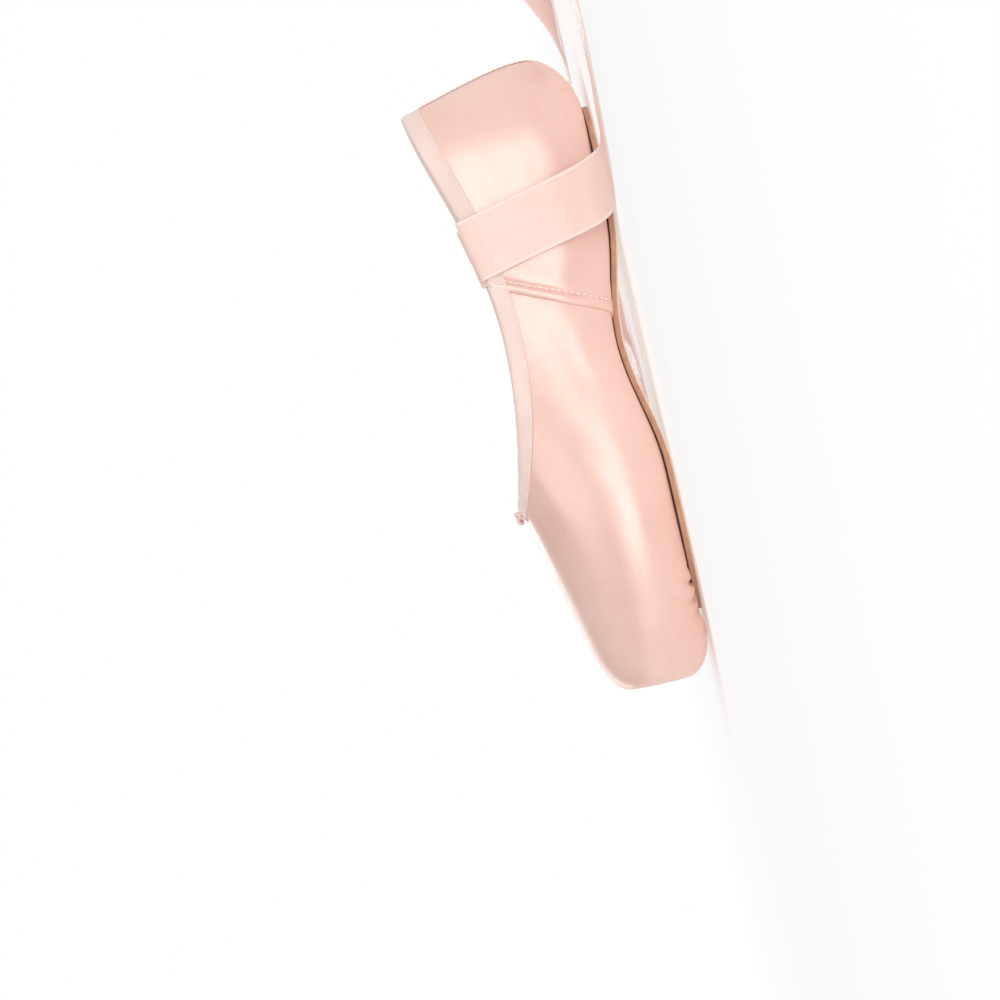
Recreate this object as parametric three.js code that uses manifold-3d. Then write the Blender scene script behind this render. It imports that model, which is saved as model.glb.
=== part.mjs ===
// A pointe shoe, empty and unbent, standing on its outsole. Millimetres, +Z up.
// +X is the toe, +Y the wearer's left. The shoe is straight lasted, so it is the same on both sides of XZ.
// The origin is on the floor, under the middle of the shoe.
// s is the distance from the back of the heel towards the platform, so x = s - LENGTH / 2.

import * as THREE from "three";
import { mergeVertices } from "three/addons/utils/BufferGeometryUtils.js";
import Module from "manifold-3d";

const wasm = await Module();
wasm.setup();

// ---- Driving dimensions ----
const LENGTH = 222;
const WALL = 1.8;
const GAP = 0.3;
const OUTSOLE_THICK = 2.6;
const INSOLE_THICK = 1.2;
const ARCH_RISE = 6.5;
const ARCH_START = 56;
const ARCH_END = 150;
const THROAT_S = 151.5;
const COLLAR_BACK_S = 10.2;
const RIM_THICK = 0.9;
const BINDING_THICK = 0.5;
const BINDING_WIDE_AT_HEEL = 6.6;
const BINDING_WIDE_AT_THROAT = 5.2;
const RIBBON_WIDE = 22;
const RIBBON_THICK = 1;

// ---- The last: one row for each section ----
// half is half the width, wide the height of the widest line, ridge the height of the closed top,
// keel how far the section's oval would reach below the flat bottom.
const LAST = [
  { s: 0, half: 26.6, wide: 20, ridge: 150, keel: 5.5 },
  { s: 40, half: 27.2, wide: 23, ridge: 146, keel: 5.5 },
  { s: 70, half: 26.8, wide: 25, ridge: 128, keel: 5.5 },
  { s: 98, half: 28.4, wide: 25.5, ridge: 96, keel: 5 },
  { s: 125, half: 33.6, wide: 21.5, ridge: 67.5, keel: 5 },
  { s: 151.5, half: 38.3, wide: 18.5, ridge: 55, keel: 5 },
  { s: 172, half: 38.8, wide: 17.5, ridge: 49.6, keel: 5 },
  { s: 192, half: 35, wide: 17.5, ridge: 44.8, keel: 4.5 },
  { s: 208, half: 30.4, wide: 18.5, ridge: 41, keel: 3.5 },
  { s: 222, half: 26.2, wide: 20, ridge: 38, keel: 1.5 },
];
const UPPER_POWER = 2.25;
const LOWER_POWER = 2.5;
const FEATHER_SOFTNESS = 0.7;

// The heel back leans forward as a hyperbola, and rolls under as an ellipse.
const HEEL_POLE = 20;
const HEEL_BACK = { reach: 3.9, rise: 13 };
const HEEL_UNDER_REACH = 24;
const HEEL_PLAN_REACH = 34;

// The platform is flat, with its rim rolled over these lengths; the numbers are the flat share left.
const PLATFORM = { widthRoll: 22, widthFlat: 0.7, topRoll: 16, topFlat: 0.64, under: 8.6, underRoll: 15 };
const TOE_DROP = { start: 199, end: 207, depth: 1.4 };

// The collar line, seen from the side.
const COLLAR = [
  { s: 0, height: 67 },
  { s: 24, height: 61 },
  { s: 46, height: 54.2 },
  { s: 70, height: 48.8 },
  { s: 93, height: 46.6 },
  { s: 116, height: 48 },
  { s: 136, height: 51.4 },
  { s: 151.5, height: 55 },
  { s: 165, height: 58.6 },
];

// The outsole's outline: half is half its width between its round ends.
const OUTSOLE = [
  { s: 20, half: 19 },
  { s: 40, half: 20 },
  { s: 62, half: 18.4 },
  { s: 97, half: 15.6 },
  { s: 130, half: 23.5 },
  { s: 155, half: 28.6 },
  { s: 172, half: 28.6 },
  { s: 188, half: 23.5 },
  { s: 200, half: 17 },
];
const OUTSOLE_START = 20;
const OUTSOLE_END = 200;
const OUTSOLE_HEEL_REACH = 17;
const OUTSOLE_TOE_REACH = 26;
const BOTTOM_LAP = 5;
const INSOLE_INSET = 3;

// ---- Smooth curves through the tables ----
function curveThrough(rows, column) {
  const count = rows.length;
  const at = rows.map((row) => row.s);
  const value = rows.map((row) => row[column]);
  const bend = new Array(count).fill(0);
  const work = new Array(count).fill(0);
  for (let i = 1; i < count - 1; i++) {
    const share = (at[i] - at[i - 1]) / (at[i + 1] - at[i - 1]);
    const pivot = share * bend[i - 1] + 2;
    const after = (value[i + 1] - value[i]) / (at[i + 1] - at[i]);
    const before = (value[i] - value[i - 1]) / (at[i] - at[i - 1]);
    bend[i] = (share - 1) / pivot;
    work[i] = ((6 * (after - before)) / (at[i + 1] - at[i - 1]) - share * work[i - 1]) / pivot;
  }
  bend[count - 1] = 0;
  for (let i = count - 2; i >= 0; i--) bend[i] = bend[i] * bend[i + 1] + work[i];
  return (s) => {
    let i = 0;
    while (i < count - 2 && s > at[i + 1]) i++;
    const wide = at[i + 1] - at[i];
    const left = (at[i + 1] - s) / wide;
    const right = 1 - left;
    const sag = ((left ** 3 - left) * bend[i] + (right ** 3 - right) * bend[i + 1]) * (wide ** 2 / 6);
    return left * value[i] + right * value[i + 1] + sag;
  };
}

const planHalf = curveThrough(LAST, "half");
const wideHeight = curveThrough(LAST, "wide");
const ridgeHeight = curveThrough(LAST, "ridge");
const keelDepth = curveThrough(LAST, "keel");
const collarHeight = curveThrough(COLLAR, "height");
const outsolePlan = curveThrough(OUTSOLE, "half");

const clamp = (value) => Math.min(Math.max(value, 0), 1);
const smooth = (value) => clamp(value) ** 2 * (3 - 2 * clamp(value));

// A quarter of an ellipse: 0 at the end, 1 once reach is covered.
const rollIn = (distance, reach) => Math.sqrt(1 - (1 - clamp(distance / reach)) ** 2);

const archShare = (s) => clamp((s - ARCH_START) / (ARCH_END - ARCH_START));
const archRise = (s) => ARCH_RISE * Math.sin(Math.PI * archShare(s)) ** 2;

function flatBottom(s) {
  const level = OUTSOLE_THICK + GAP + archRise(s);
  const heel = HEEL_POLE - (HEEL_POLE - level) * rollIn(s, HEEL_UNDER_REACH);
  const drop = TOE_DROP.depth * smooth((s - TOE_DROP.start) / (TOE_DROP.end - TOE_DROP.start));
  const rise = PLATFORM.under * (1 - rollIn(LENGTH - s, PLATFORM.underRoll));
  return heel - drop + rise;
}

function closedTop(s) {
  const back = HEEL_BACK.rise * Math.sqrt((s / HEEL_BACK.reach + 1) ** 2 - 1);
  const roll = PLATFORM.topFlat + (1 - PLATFORM.topFlat) * rollIn(LENGTH - s, PLATFORM.topRoll);
  const ridge = (ridgeHeight(s) - HEEL_POLE) * roll;
  return HEEL_POLE + (back ** -4 + ridge ** -4) ** -0.25;
}

// The section of the last at s.
function section(s) {
  const heel = rollIn(s, HEEL_PLAN_REACH);
  const toe = PLATFORM.widthFlat + (1 - PLATFORM.widthFlat) * rollIn(LENGTH - s, PLATFORM.widthRoll);
  const bottom = flatBottom(s);
  const wide = wideHeight(s);
  return {
    half: planHalf(s) * heel * toe,
    wide,
    bottom,
    up: closedTop(s) - wide,
    down: wide - bottom + keelDepth(s) * rollIn(s, HEEL_UNDER_REACH),
  };
}

// A point of the last's surface: angle 0 is the left side, a quarter turn the top.
function lastPoint(s, angle) {
  const { half, wide, bottom, up, down } = section(s);
  const across = Math.cos(angle);
  const upward = Math.sin(angle);
  const power = upward > 0 ? UPPER_POWER : LOWER_POWER;
  const size = (Math.abs(across) ** power + Math.abs(upward) ** power) ** (1 / power);
  const free = wide + ((upward > 0 ? up : down) * upward) / size;
  const over = (free - bottom) / FEATHER_SOFTNESS;
  const height = over > 20 ? free : bottom + FEATHER_SOFTNESS * Math.log(1 + Math.exp(over));
  return new THREE.Vector3(s - LENGTH / 2, (half * across) / size, height);
}

// ---- Solids from grids ----
const STATIONS = 42;
const AROUND = 40;

// Joins rows of points into a closed body: each row is a ring, and the two end rings are filled.
// otherSplit names the columns whose four-sided faces are split along their other diagonal.
function loft(rings, closedLengthwise = false, otherSplit = []) {
  const points = [];
  const corners = [];
  const wide = rings[0].length;
  for (const ring of rings) for (const p of ring) points.push(p.x, p.y, p.z);
  const rows = rings.length;
  for (let i = 0; i < (closedLengthwise ? rows : rows - 1); i++) {
    for (let j = 0; j < wide; j++) {
      const a = i * wide + j;
      const b = i * wide + ((j + 1) % wide);
      const c = ((i + 1) % rows) * wide + ((j + 1) % wide);
      const d = ((i + 1) % rows) * wide + j;
      if (otherSplit.includes(j)) corners.push(a, b, d, b, c, d);
      else corners.push(a, b, c, a, c, d);
    }
  }
  if (!closedLengthwise) {
    const caps = [[0, 1], [rows - 1, -1]];
    for (const [row, way] of caps) {
      const middle = new THREE.Vector3();
      for (const p of rings[row]) middle.addScaledVector(p, 1 / wide);
      const centre = points.length / 3;
      points.push(middle.x, middle.y, middle.z);
      for (let j = 0; j < wide; j++) {
        const a = row * wide + j;
        const b = row * wide + ((j + 1) % wide);
        if (way > 0) corners.push(centre, b, a);
        else corners.push(centre, a, b);
      }
    }
  }
  return weld(points, corners);
}

// Merges equal points and drops the triangles that collapse with them.
function weld(points, corners) {
  const raw = new THREE.BufferGeometry();
  raw.setAttribute("position", new THREE.Float32BufferAttribute(points, 3));
  raw.setIndex(corners);
  const merged = mergeVertices(raw, 1e-3);
  const index = merged.index.array;
  const kept = [];
  for (let i = 0; i < index.length; i += 3) {
    const [a, b, c] = [index[i], index[i + 1], index[i + 2]];
    if (a !== b && b !== c && c !== a) kept.push(a, b, c);
  }
  merged.setIndex(kept);
  return merged;
}

function solid(geometry) {
  const bare = mergeVertices(new THREE.BufferGeometry()
    .setAttribute("position", geometry.getAttribute("position"))
    .setIndex(geometry.index), 1e-3);
  return new wasm.Manifold(new wasm.Mesh({
    numProp: 3,
    vertProperties: bare.attributes.position.array,
    triVerts: new Uint32Array(bare.index.array),
  }));
}

function geometryOf(body) {
  const mesh = body.getMesh();
  const geometry = new THREE.BufferGeometry();
  geometry.setAttribute("position", new THREE.Float32BufferAttribute(mesh.vertProperties, 3));
  geometry.setIndex(Array.from(mesh.triVerts));
  geometry.computeVertexNormals();
  return geometry;
}

// Stations are close together at both ends, where the last is round.
const stationS = (u) => (LENGTH * (1 - Math.cos(Math.PI * u))) / 2;

// The outward direction of the last's surface at station u and angle, kept off the two end points.
const FIRST_U = 0.002;
const LAST_U = 0.9995;
function outward(u, angle) {
  const step = 1e-3;
  const before = Math.max(u - step, FIRST_U);
  const after = Math.min(u + step, LAST_U);
  const along = lastPoint(stationS(after), angle).sub(lastPoint(stationS(before), angle));
  const mid = stationS((before + after) / 2);
  const around = lastPoint(mid, angle + step).sub(lastPoint(mid, angle - step));
  return around.cross(along).normalize();
}

// The last as a solid, its surface moved in by inset.
function lastSolid(inset) {
  const rings = [];
  for (let i = 0; i <= STATIONS; i++) {
    const u = i / STATIONS;
    const ring = [];
    for (let j = 0; j < AROUND; j++) {
      const angle = (2 * Math.PI * j) / AROUND;
      const point = lastPoint(stationS(u), angle);
      if (i === 0) point.x += inset;
      else if (inset > 0) point.addScaledVector(outward(u, angle), -inset);
      ring.push(point);
    }
    rings.push(ring);
  }
  return solid(loft(rings));
}

// ---- The collar edge and the binding that wraps it ----
const EDGE_STEPS = 36;

// Half the last's width at s, at a height above its widest line.
function halfAt(s, height) {
  const { half, wide, up } = section(s);
  const share = clamp((height - wide) / up);
  return half * (1 - share ** UPPER_POWER) ** (1 / UPPER_POWER);
}

// How far a point is outside the last above its widest line, and which way is out.
function outside(point) {
  const firstS = 0.05;
  const measure = (x, y, z) => {
    const { half, wide, up } = section(Math.max(x + LENGTH / 2, firstS));
    return (Math.abs(y) / half) ** UPPER_POWER + (Math.max(z - wide, 0) / up) ** UPPER_POWER - 1;
  };
  const step = 0.01;
  const value = measure(point.x, point.y, point.z);
  const slope = new THREE.Vector3(
    measure(point.x + step, point.y, point.z) - measure(point.x - step, point.y, point.z),
    measure(point.x, point.y + step, point.z) - measure(point.x, point.y - step, point.z),
    measure(point.x, point.y, point.z + step) - measure(point.x, point.y, point.z - step),
  ).divideScalar(2 * step);
  const size = slope.length();
  return { distance: value / size, direction: slope.divideScalar(size) };
}

// One closed loop of points along the collar edge, from the heel round by the left side.
function collarEdge() {
  const left = [];
  for (let k = 0; k <= EDGE_STEPS; k++) {
    const share = (1 - Math.cos((Math.PI * k) / EDGE_STEPS)) / 2;
    const s = COLLAR_BACK_S + (THROAT_S - COLLAR_BACK_S) * share;
    const height = collarHeight(s);
    const ends = k === 0 || k === EDGE_STEPS;
    left.push(new THREE.Vector3(s - LENGTH / 2, ends ? 0 : halfAt(s, height), height));
  }
  const right = left.slice(1, -1).reverse().map((p) => new THREE.Vector3(p.x, -p.y, p.z));
  return [...left, ...right];
}

// A ring that follows the collar edge. Each profile point has down, the distance below the edge,
// out, the distance proud of the last, and low, which is 1 where down grows with the binding's width.
function ringAlongCollar(profile) {
  const edge = collarEdge();
  const count = edge.length;
  const rings = edge.map((here, k) => {
    const ahead = edge[(k + 1) % count].clone().sub(edge[(k + count - 1) % count]).normalize();
    const face = outside(here).direction;
    const away = new THREE.Vector3().crossVectors(face, ahead).normalize();
    const share = clamp((here.x + LENGTH / 2) / THROAT_S);
    const wide = BINDING_WIDE_AT_HEEL + (BINDING_WIDE_AT_THROAT - BINDING_WIDE_AT_HEEL) * share;
    return profile.map(({ down, out, low }) => {
      const point = here.clone().addScaledVector(away, down + (low ? wide : 0));
      for (let turn = 0; turn < 3; turn++) {
        const { distance, direction } = outside(point);
        point.addScaledVector(direction, -distance);
      }
      const { direction } = outside(point);
      return point.addScaledVector(direction, out);
    });
  });
  return loft(rings, true);
}

const FOLD_ROUND = 0.6;
const RIM_OUT = -(WALL - RIM_THICK) / 2;
const RIM_IN = RIM_OUT - RIM_THICK;
const LEAF_OUT = RIM_OUT + GAP + BINDING_THICK;
const LEAF_IN = RIM_IN - GAP - BINDING_THICK;
const CROWN = BINDING_THICK + GAP;

function bindingGeometry() {
  return ringAlongCollar([
    { down: 0, out: LEAF_OUT, low: 1 },
    { down: FOLD_ROUND, out: LEAF_OUT },
    { down: 0, out: LEAF_OUT - FOLD_ROUND },
    { down: 0, out: LEAF_IN + FOLD_ROUND },
    { down: FOLD_ROUND, out: LEAF_IN },
    { down: 0, out: LEAF_IN, low: 1 },
    { down: 0, out: LEAF_IN + BINDING_THICK, low: 1 },
    { down: BINDING_THICK, out: LEAF_IN + BINDING_THICK },
    { down: BINDING_THICK, out: LEAF_OUT - BINDING_THICK },
    { down: 0, out: LEAF_OUT - BINDING_THICK, low: 1 },
  ]);
}

// What is cut from the upper so that its thinned rim stands inside the binding's fold.
function bindingClearance() {
  const beyond = 3;
  return solid(ringAlongCollar([
    { down: GAP, out: beyond, low: 1 },
    { down: -beyond, out: beyond },
    { down: -beyond, out: -beyond - WALL },
    { down: GAP, out: -beyond - WALL, low: 1 },
    { down: GAP, out: RIM_IN, low: 1 },
    { down: CROWN, out: RIM_IN },
    { down: CROWN, out: RIM_OUT },
    { down: GAP, out: RIM_OUT, low: 1 },
  ]));
}

// ---- Upper ----
// Everything above the collar line, from behind the heel to the throat.
function collarCutter() {
  const outline = new THREE.Shape();
  const above = 200;
  const behind = -LENGTH / 2 - 20;
  const across = 120;
  const steps = 48;
  outline.moveTo(behind, above);
  outline.lineTo(behind, collarHeight(0));
  for (let k = 0; k <= steps; k++) {
    const s = (THROAT_S * k) / steps;
    outline.lineTo(s - LENGTH / 2, collarHeight(s));
  }
  outline.lineTo(THROAT_S - LENGTH / 2, above);
  const block = new THREE.ExtrudeGeometry(outline, { depth: across, bevelEnabled: false });
  block.rotateX(Math.PI / 2);
  block.translate(0, across / 2, 0);
  const corners = block.getAttribute("position");
  return solid(weld(corners.array, Array.from({ length: corners.count }, (_, k) => k)));
}

function outsoleHalf(s) {
  const heel = rollIn(s - OUTSOLE_START, OUTSOLE_HEEL_REACH);
  const toe = rollIn(OUTSOLE_END - s, OUTSOLE_TOE_REACH);
  return outsolePlan(s) * heel * toe;
}

// A plate with the outsole's outline moved in by inset. profile gives its section's corners from
// the half width and s, going round anticlockwise as seen from the toe.
const PLATE_STATIONS = 40;
const PLATE_TYPICAL_HALF = 24;
const PLATE_TIP_HALF = 0.4;
function plateGeometry(inset, profile) {
  const rings = [];
  const start = OUTSOLE_START + inset;
  const long = OUTSOLE_END - inset - start;
  for (let i = 0; i <= PLATE_STATIONS; i++) {
    const share = (1 - Math.cos((Math.PI * i) / PLATE_STATIONS)) / 2;
    const s = start + long * share;
    const whole = OUTSOLE_START + (OUTSOLE_END - OUTSOLE_START) * share;
    const half = Math.max(outsoleHalf(whole) * (1 - inset / PLATE_TYPICAL_HALF), PLATE_TIP_HALF);
    rings.push(profile(half, s).map(([y, z]) => new THREE.Vector3(s - LENGTH / 2, y, z)));
  }
  return loft(rings);
}

function outsoleGeometry() {
  const edge = 0.7;
  return plateGeometry(0, (half, s) => {
    const low = archRise(s);
    const high = low + OUTSOLE_THICK;
    const foot = Math.max(half - edge, half / 2);
    return [[foot, low], [half, low + edge], [half, high], [0, high],
      [-half, high], [-half, low + edge], [-foot, low], [0, low]];
  });
}

function insoleGeometry() {
  return plateGeometry(INSOLE_INSET, (half, s) => {
    const low = archRise(s) + OUTSOLE_THICK + GAP + WALL + GAP;
    const high = low + INSOLE_THICK;
    return [[half, low], [half, high], [0, high], [-half, high], [-half, low], [0, low]];
  });
}

function bottomCutter() {
  const deep = 12;
  return solid(plateGeometry(BOTTOM_LAP, (half, s) => {
    const high = archRise(s) + deep;
    return [[half, -deep], [half, high], [-half, high], [-half, -deep]];
  }));
}

function upperGeometry() {
  const shell = lastSolid(0)
    .subtract(lastSolid(WALL))
    .subtract(collarCutter())
    .subtract(bottomCutter())
    .subtract(bindingClearance())
    .simplify(0.01);
  const bodies = shell.decompose();
  bodies.sort((one, other) => other.volume() - one.volume());
  return geometryOf(bodies[0]);
}

// ---- Drawstring knot ----
// A small flat knot on the binding at the front of the throat.
function knotGeometry() {
  const size = { along: 2.8, across: 3.4, high: 1.1 };
  const fromEdge = 3.4;
  const here = lastPoint(THROAT_S + fromEdge, Math.PI / 2);
  const { direction } = outside(here);
  const knot = new THREE.SphereGeometry(1, 16, 10);
  knot.scale(size.along, size.across, size.high);
  knot.rotateY(Math.atan2(direction.x, direction.z));
  here.addScaledVector(direction, LEAF_OUT + GAP + size.high);
  knot.translate(here.x, here.y, here.z);
  return weld(knot.getAttribute("position").array, Array.from(knot.index.array));
}

// ---- Ribbons ----
// Each is sewn inside the quarter, comes up over the collar, hangs down the side and lies on the floor.
// turn is the compass angle of the way across the ribbon, and dip how far that side is tipped down.
// Where it lies, its lower edge is on the floor.
const DRAPE = [
  { x: -54.3, y: 23.1, z: 27.5, turn: 0, dip: 13 },
  { x: -51.8, y: 23.1, z: 38.5, turn: 0, dip: 13 },
  { x: -49.7, y: 23.2, z: 47.6, turn: 0, dip: 13 },
  { x: -49, y: 24, z: 51.2, turn: 0, dip: 13 },
  { x: -48.9, y: 25.6, z: 52.2, turn: 0, dip: 13 },
  { x: -49, y: 27.2, z: 51.2, turn: 0, dip: 13 },
  { x: -49.8, y: 28, z: 47.6, turn: 0, dip: 13 },
  { x: -52.2, y: 28.2, z: 37.5, turn: 0, dip: 13 },
  { x: -54.7, y: 28.5, z: 26.5, turn: 0, dip: 13 },
  { x: -57, y: 29.3, z: 16.2, turn: 0, dip: 12 },
  { x: -59, y: 31.8, z: 8.2, turn: 2, dip: 9 },
  { x: -61, y: 37, z: 3.3, turn: 7, dip: 4 },
];
const LEFT_LIE = [
  { x: -63.5, y: 46, turn: 13, dip: 0 },
  { x: -68, y: 61, turn: 20, dip: 0 },
  { x: -76, y: 75, turn: 32, dip: 0 },
  { x: -87.5, y: 87, turn: 44, dip: 0 },
  { x: -101.5, y: 96.5, turn: 56, dip: 0 },
  { x: -117.5, y: 102.5, turn: 69, dip: 2 },
  { x: -134.5, y: 104, turn: 86, dip: 20 },
  { x: -151, y: 99.5, turn: 108, dip: 42 },
  { x: -163, y: 87.5, turn: 138, dip: 53 },
  { x: -166, y: 71, turn: 168, dip: 47 },
  { x: -160.5, y: 54.5, turn: 194, dip: 26 },
  { x: -152, y: 38.5, turn: 203, dip: 4 },
  { x: -146, y: 21.5, turn: 194, dip: -20 },
  { x: -145, y: 3.5, turn: 172, dip: -42 },
  { x: -151, y: -13.5, turn: 152, dip: -45 },
  { x: -161, y: -28.5, turn: 146, dip: -22 },
  { x: -170.5, y: -44, turn: 153, dip: 6 },
  { x: -173.5, y: -61.5, turn: 176, dip: 32 },
  { x: -168.5, y: -78.5, turn: 200, dip: 50 },
  { x: -156.5, y: -91.5, turn: 226, dip: 42 },
  { x: -141, y: -100.5, turn: 244, dip: 18 },
  { x: -124, y: -106.5, turn: 251, dip: 0 },
  { x: -110, y: -111, turn: 251, dip: 0 },
];
const RIGHT_LIE = [
  { x: -63.5, y: -46, turn: -12, dip: -1 },
  { x: -66, y: -62, turn: -6, dip: -15 },
  { x: -63.5, y: -79, turn: 18, dip: -40 },
  { x: -52.5, y: -92, turn: 56, dip: -58 },
  { x: -35.5, y: -95, turn: 89, dip: -54 },
  { x: -19.5, y: -88, turn: 115, dip: -36 },
  { x: -5, y: -77, turn: 127, dip: -8 },
  { x: 10, y: -68, turn: 117, dip: 18 },
  { x: 27.5, y: -64, turn: 92, dip: 42 },
  { x: 44, y: -69.5, turn: 62, dip: 53 },
  { x: 55.5, y: -83, turn: 30, dip: 56 },
  { x: 58, y: -100, turn: -2, dip: 53 },
  { x: 50.5, y: -116, turn: -38, dip: 45 },
  { x: 35, y: -124.5, turn: -70, dip: 31 },
  { x: 17.5, y: -125.5, turn: -92, dip: 9 },
  { x: 0, y: -122.5, turn: -98, dip: -8 },
  { x: -17, y: -121, turn: -85, dip: -22 },
  { x: -33.5, y: -125, turn: -68, dip: -22 },
  { x: -49, y: -133, turn: -60, dip: -6 },
  { x: -64.5, y: -141.5, turn: -62, dip: 0 },
  { x: -80.5, y: -149, turn: -66, dip: 0 },
  { x: -98, y: -155, turn: -70, dip: 0 },
];
const RIBBON_STEPS = 78;
const degrees = THREE.MathUtils.degToRad;

// The height of the ribbon's middle when it is tipped by dip and its lower edge is on the floor.
function restHeight(dip) {
  const tip = degrees(Math.abs(dip));
  return (RIBBON_WIDE / 2) * Math.sin(tip) + (RIBBON_THICK / 2) * Math.cos(tip);
}

function ribbonGeometry(side, lie) {
  const draped = DRAPE.map((row) => ({ ...row, y: side * row.y, turn: side * row.turn }));
  const route = [...draped, ...lie.map((row) => ({ ...row, z: restHeight(row.dip) }))];
  const path = new THREE.CatmullRomCurve3(route.map((row) => new THREE.Vector3(row.x, row.y, row.z)));
  const rings = [];
  for (let i = 0; i <= RIBBON_STEPS; i++) {
    const share = i / RIBBON_STEPS;
    const row = Math.min(Math.floor(share * (route.length - 1)), route.length - 2);
    const part = share * (route.length - 1) - row;
    const turn = degrees(THREE.MathUtils.lerp(route[row].turn, route[row + 1].turn, part));
    const dip = degrees(THREE.MathUtils.lerp(route[row].dip, route[row + 1].dip, part));
    const ahead = path.getTangent(share);
    const flat = Math.cos(dip);
    const across = new THREE.Vector3(Math.cos(turn) * flat, Math.sin(turn) * flat, -Math.sin(dip));
    across.addScaledVector(ahead, -across.dot(ahead)).normalize();
    const face = new THREE.Vector3().crossVectors(across, ahead);
    const middle = path.getPoint(share);
    const tip = Math.asin(Math.abs(across.z));
    middle.z = Math.max(middle.z, restHeight(THREE.MathUtils.radToDeg(tip)));
    const corner = (wide, thick) => middle.clone()
      .addScaledVector(across, (wide * RIBBON_WIDE) / 2)
      .addScaledVector(face, (thick * RIBBON_THICK) / 2);
    rings.push([corner(1, -1), corner(0, -1), corner(-1, -1), corner(-1, 1), corner(0, 1), corner(1, 1)]);
  }
  // The upper face's columns share their diagonals with the lower face, so a twist keeps the thickness.
  return loft(rings, false, [3, 4]);
}

// ---- Nodes ----
const satin = new THREE.MeshStandardMaterial({ color: 0xf3d2c5, roughness: 0.35, metalness: 0 });
const tape = new THREE.MeshStandardMaterial({ color: 0xf0dad0, roughness: 0.4, metalness: 0 });
const ribbonSatin = new THREE.MeshStandardMaterial({ color: 0xf5d6cb, roughness: 0.3, metalness: 0 });
const leather = new THREE.MeshStandardMaterial({ color: 0xcd9b7d, roughness: 0.7, metalness: 0 });
const lining = new THREE.MeshStandardMaterial({ color: 0xefe3d2, roughness: 0.85, metalness: 0 });

const shoe = new THREE.Group();
function add(name, geometry, material) {
  const mesh = new THREE.Mesh(geometry, material);
  mesh.name = name;
  shoe.add(mesh);
}
add("upper", upperGeometry(), satin);
add("outsole", outsoleGeometry(), leather);
add("insole", insoleGeometry(), lining);
add("binding", bindingGeometry(), tape);
add("drawstring_knot", knotGeometry(), tape);
add("ribbon_left", ribbonGeometry(1, LEFT_LIE), ribbonSatin);
add("ribbon_right", ribbonGeometry(-1, RIGHT_LIE), ribbonSatin);

export default shoe;
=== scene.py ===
"""A pointe shoe, standing empty and unbent on its outsole, with its ankle ribbons lying loose.

Sizes are in millimetres and are turned into metres where a mesh is made. +X is the toe, +Y the
wearer's left, +Z up, and s is the distance from the back of the heel towards the platform.
"""

import math

import bmesh
import bpy
import numpy as np
from mathutils import Matrix, Vector


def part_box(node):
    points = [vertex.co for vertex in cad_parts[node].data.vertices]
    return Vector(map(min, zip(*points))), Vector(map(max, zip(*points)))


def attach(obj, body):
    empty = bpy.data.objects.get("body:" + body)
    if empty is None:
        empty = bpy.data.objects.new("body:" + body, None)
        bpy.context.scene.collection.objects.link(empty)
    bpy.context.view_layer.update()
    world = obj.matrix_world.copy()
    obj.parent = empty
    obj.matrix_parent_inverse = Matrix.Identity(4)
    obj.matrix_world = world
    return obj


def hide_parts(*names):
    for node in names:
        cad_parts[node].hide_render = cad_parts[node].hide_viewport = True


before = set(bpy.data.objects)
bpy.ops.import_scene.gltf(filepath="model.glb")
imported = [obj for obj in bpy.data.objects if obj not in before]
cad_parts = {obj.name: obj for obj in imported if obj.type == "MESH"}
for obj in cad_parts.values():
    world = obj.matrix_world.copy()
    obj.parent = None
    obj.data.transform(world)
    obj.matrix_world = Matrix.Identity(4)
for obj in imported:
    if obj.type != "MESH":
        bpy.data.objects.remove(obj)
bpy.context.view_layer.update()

MM = 0.001
UPPER_LOW, UPPER_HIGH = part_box("upper")
LENGTH = (UPPER_HIGH.x - UPPER_LOW.x) / MM

# ---- the shoe's own sizes, mm

WALL = 1.8
SATIN_THICK = 0.5
LINING_THICK = 0.5
OUTSOLE_THICK = 2.6
SOLE_GAP = 0.3
ARCH_RISE = 6.5
ARCH_START = 56
ARCH_END = 150
THROAT_S = 151.5
COLLAR_BACK_S = 10.2
BINDING_WIDE_AT_HEEL = 6.6
BINDING_WIDE_AT_THROAT = 5.2
RIBBON_WIDE = 22
RIBBON_THICK = 0.4

# The last, one row a section: half the width, the height of the widest line, the closed top's
# height, and how far the section's oval would reach below the flat bottom.
LAST_COLUMNS = ("s", "half", "wide", "ridge", "keel")
LAST = [
    (0, 26.6, 20, 150, 5.5),
    (40, 27.2, 23, 146, 5.5),
    (70, 26.8, 25, 128, 5.5),
    (98, 28.4, 25.5, 96, 5),
    (125, 33.6, 21.5, 67.5, 5),
    (151.5, 38.3, 18.5, 55, 5),
    (172, 38.8, 17.5, 49.6, 5),
    (192, 35, 17.5, 44.8, 4.5),
    (208, 30.4, 18.5, 41, 3.5),
    (222, 26.2, 20, 38, 1.5),
]
UPPER_POWER = 2.25
LOWER_POWER = 2.5
FEATHER_SOFTNESS = 0.7
HEEL_POLE = 20
HEEL_BACK_REACH = 3.9
HEEL_BACK_RISE = 13
HEEL_UNDER_REACH = 24
HEEL_PLAN_REACH = 34
PLATFORM_WIDTH_ROLL = 22
PLATFORM_WIDTH_FLAT = 0.7
PLATFORM_TOP_ROLL = 16
PLATFORM_TOP_FLAT = 0.64
PLATFORM_UNDER = 8.6
PLATFORM_UNDER_ROLL = 15
TOE_DROP_START = 199
TOE_DROP_END = 207
TOE_DROP = 1.4

COLLAR_COLUMNS = ("s", "height")
COLLAR = [
    (0, 67),
    (24, 61),
    (46, 54.2),
    (70, 48.8),
    (93, 46.6),
    (116, 48),
    (136, 51.4),
    (151.5, 55),
    (165, 58.6),
]

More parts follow.
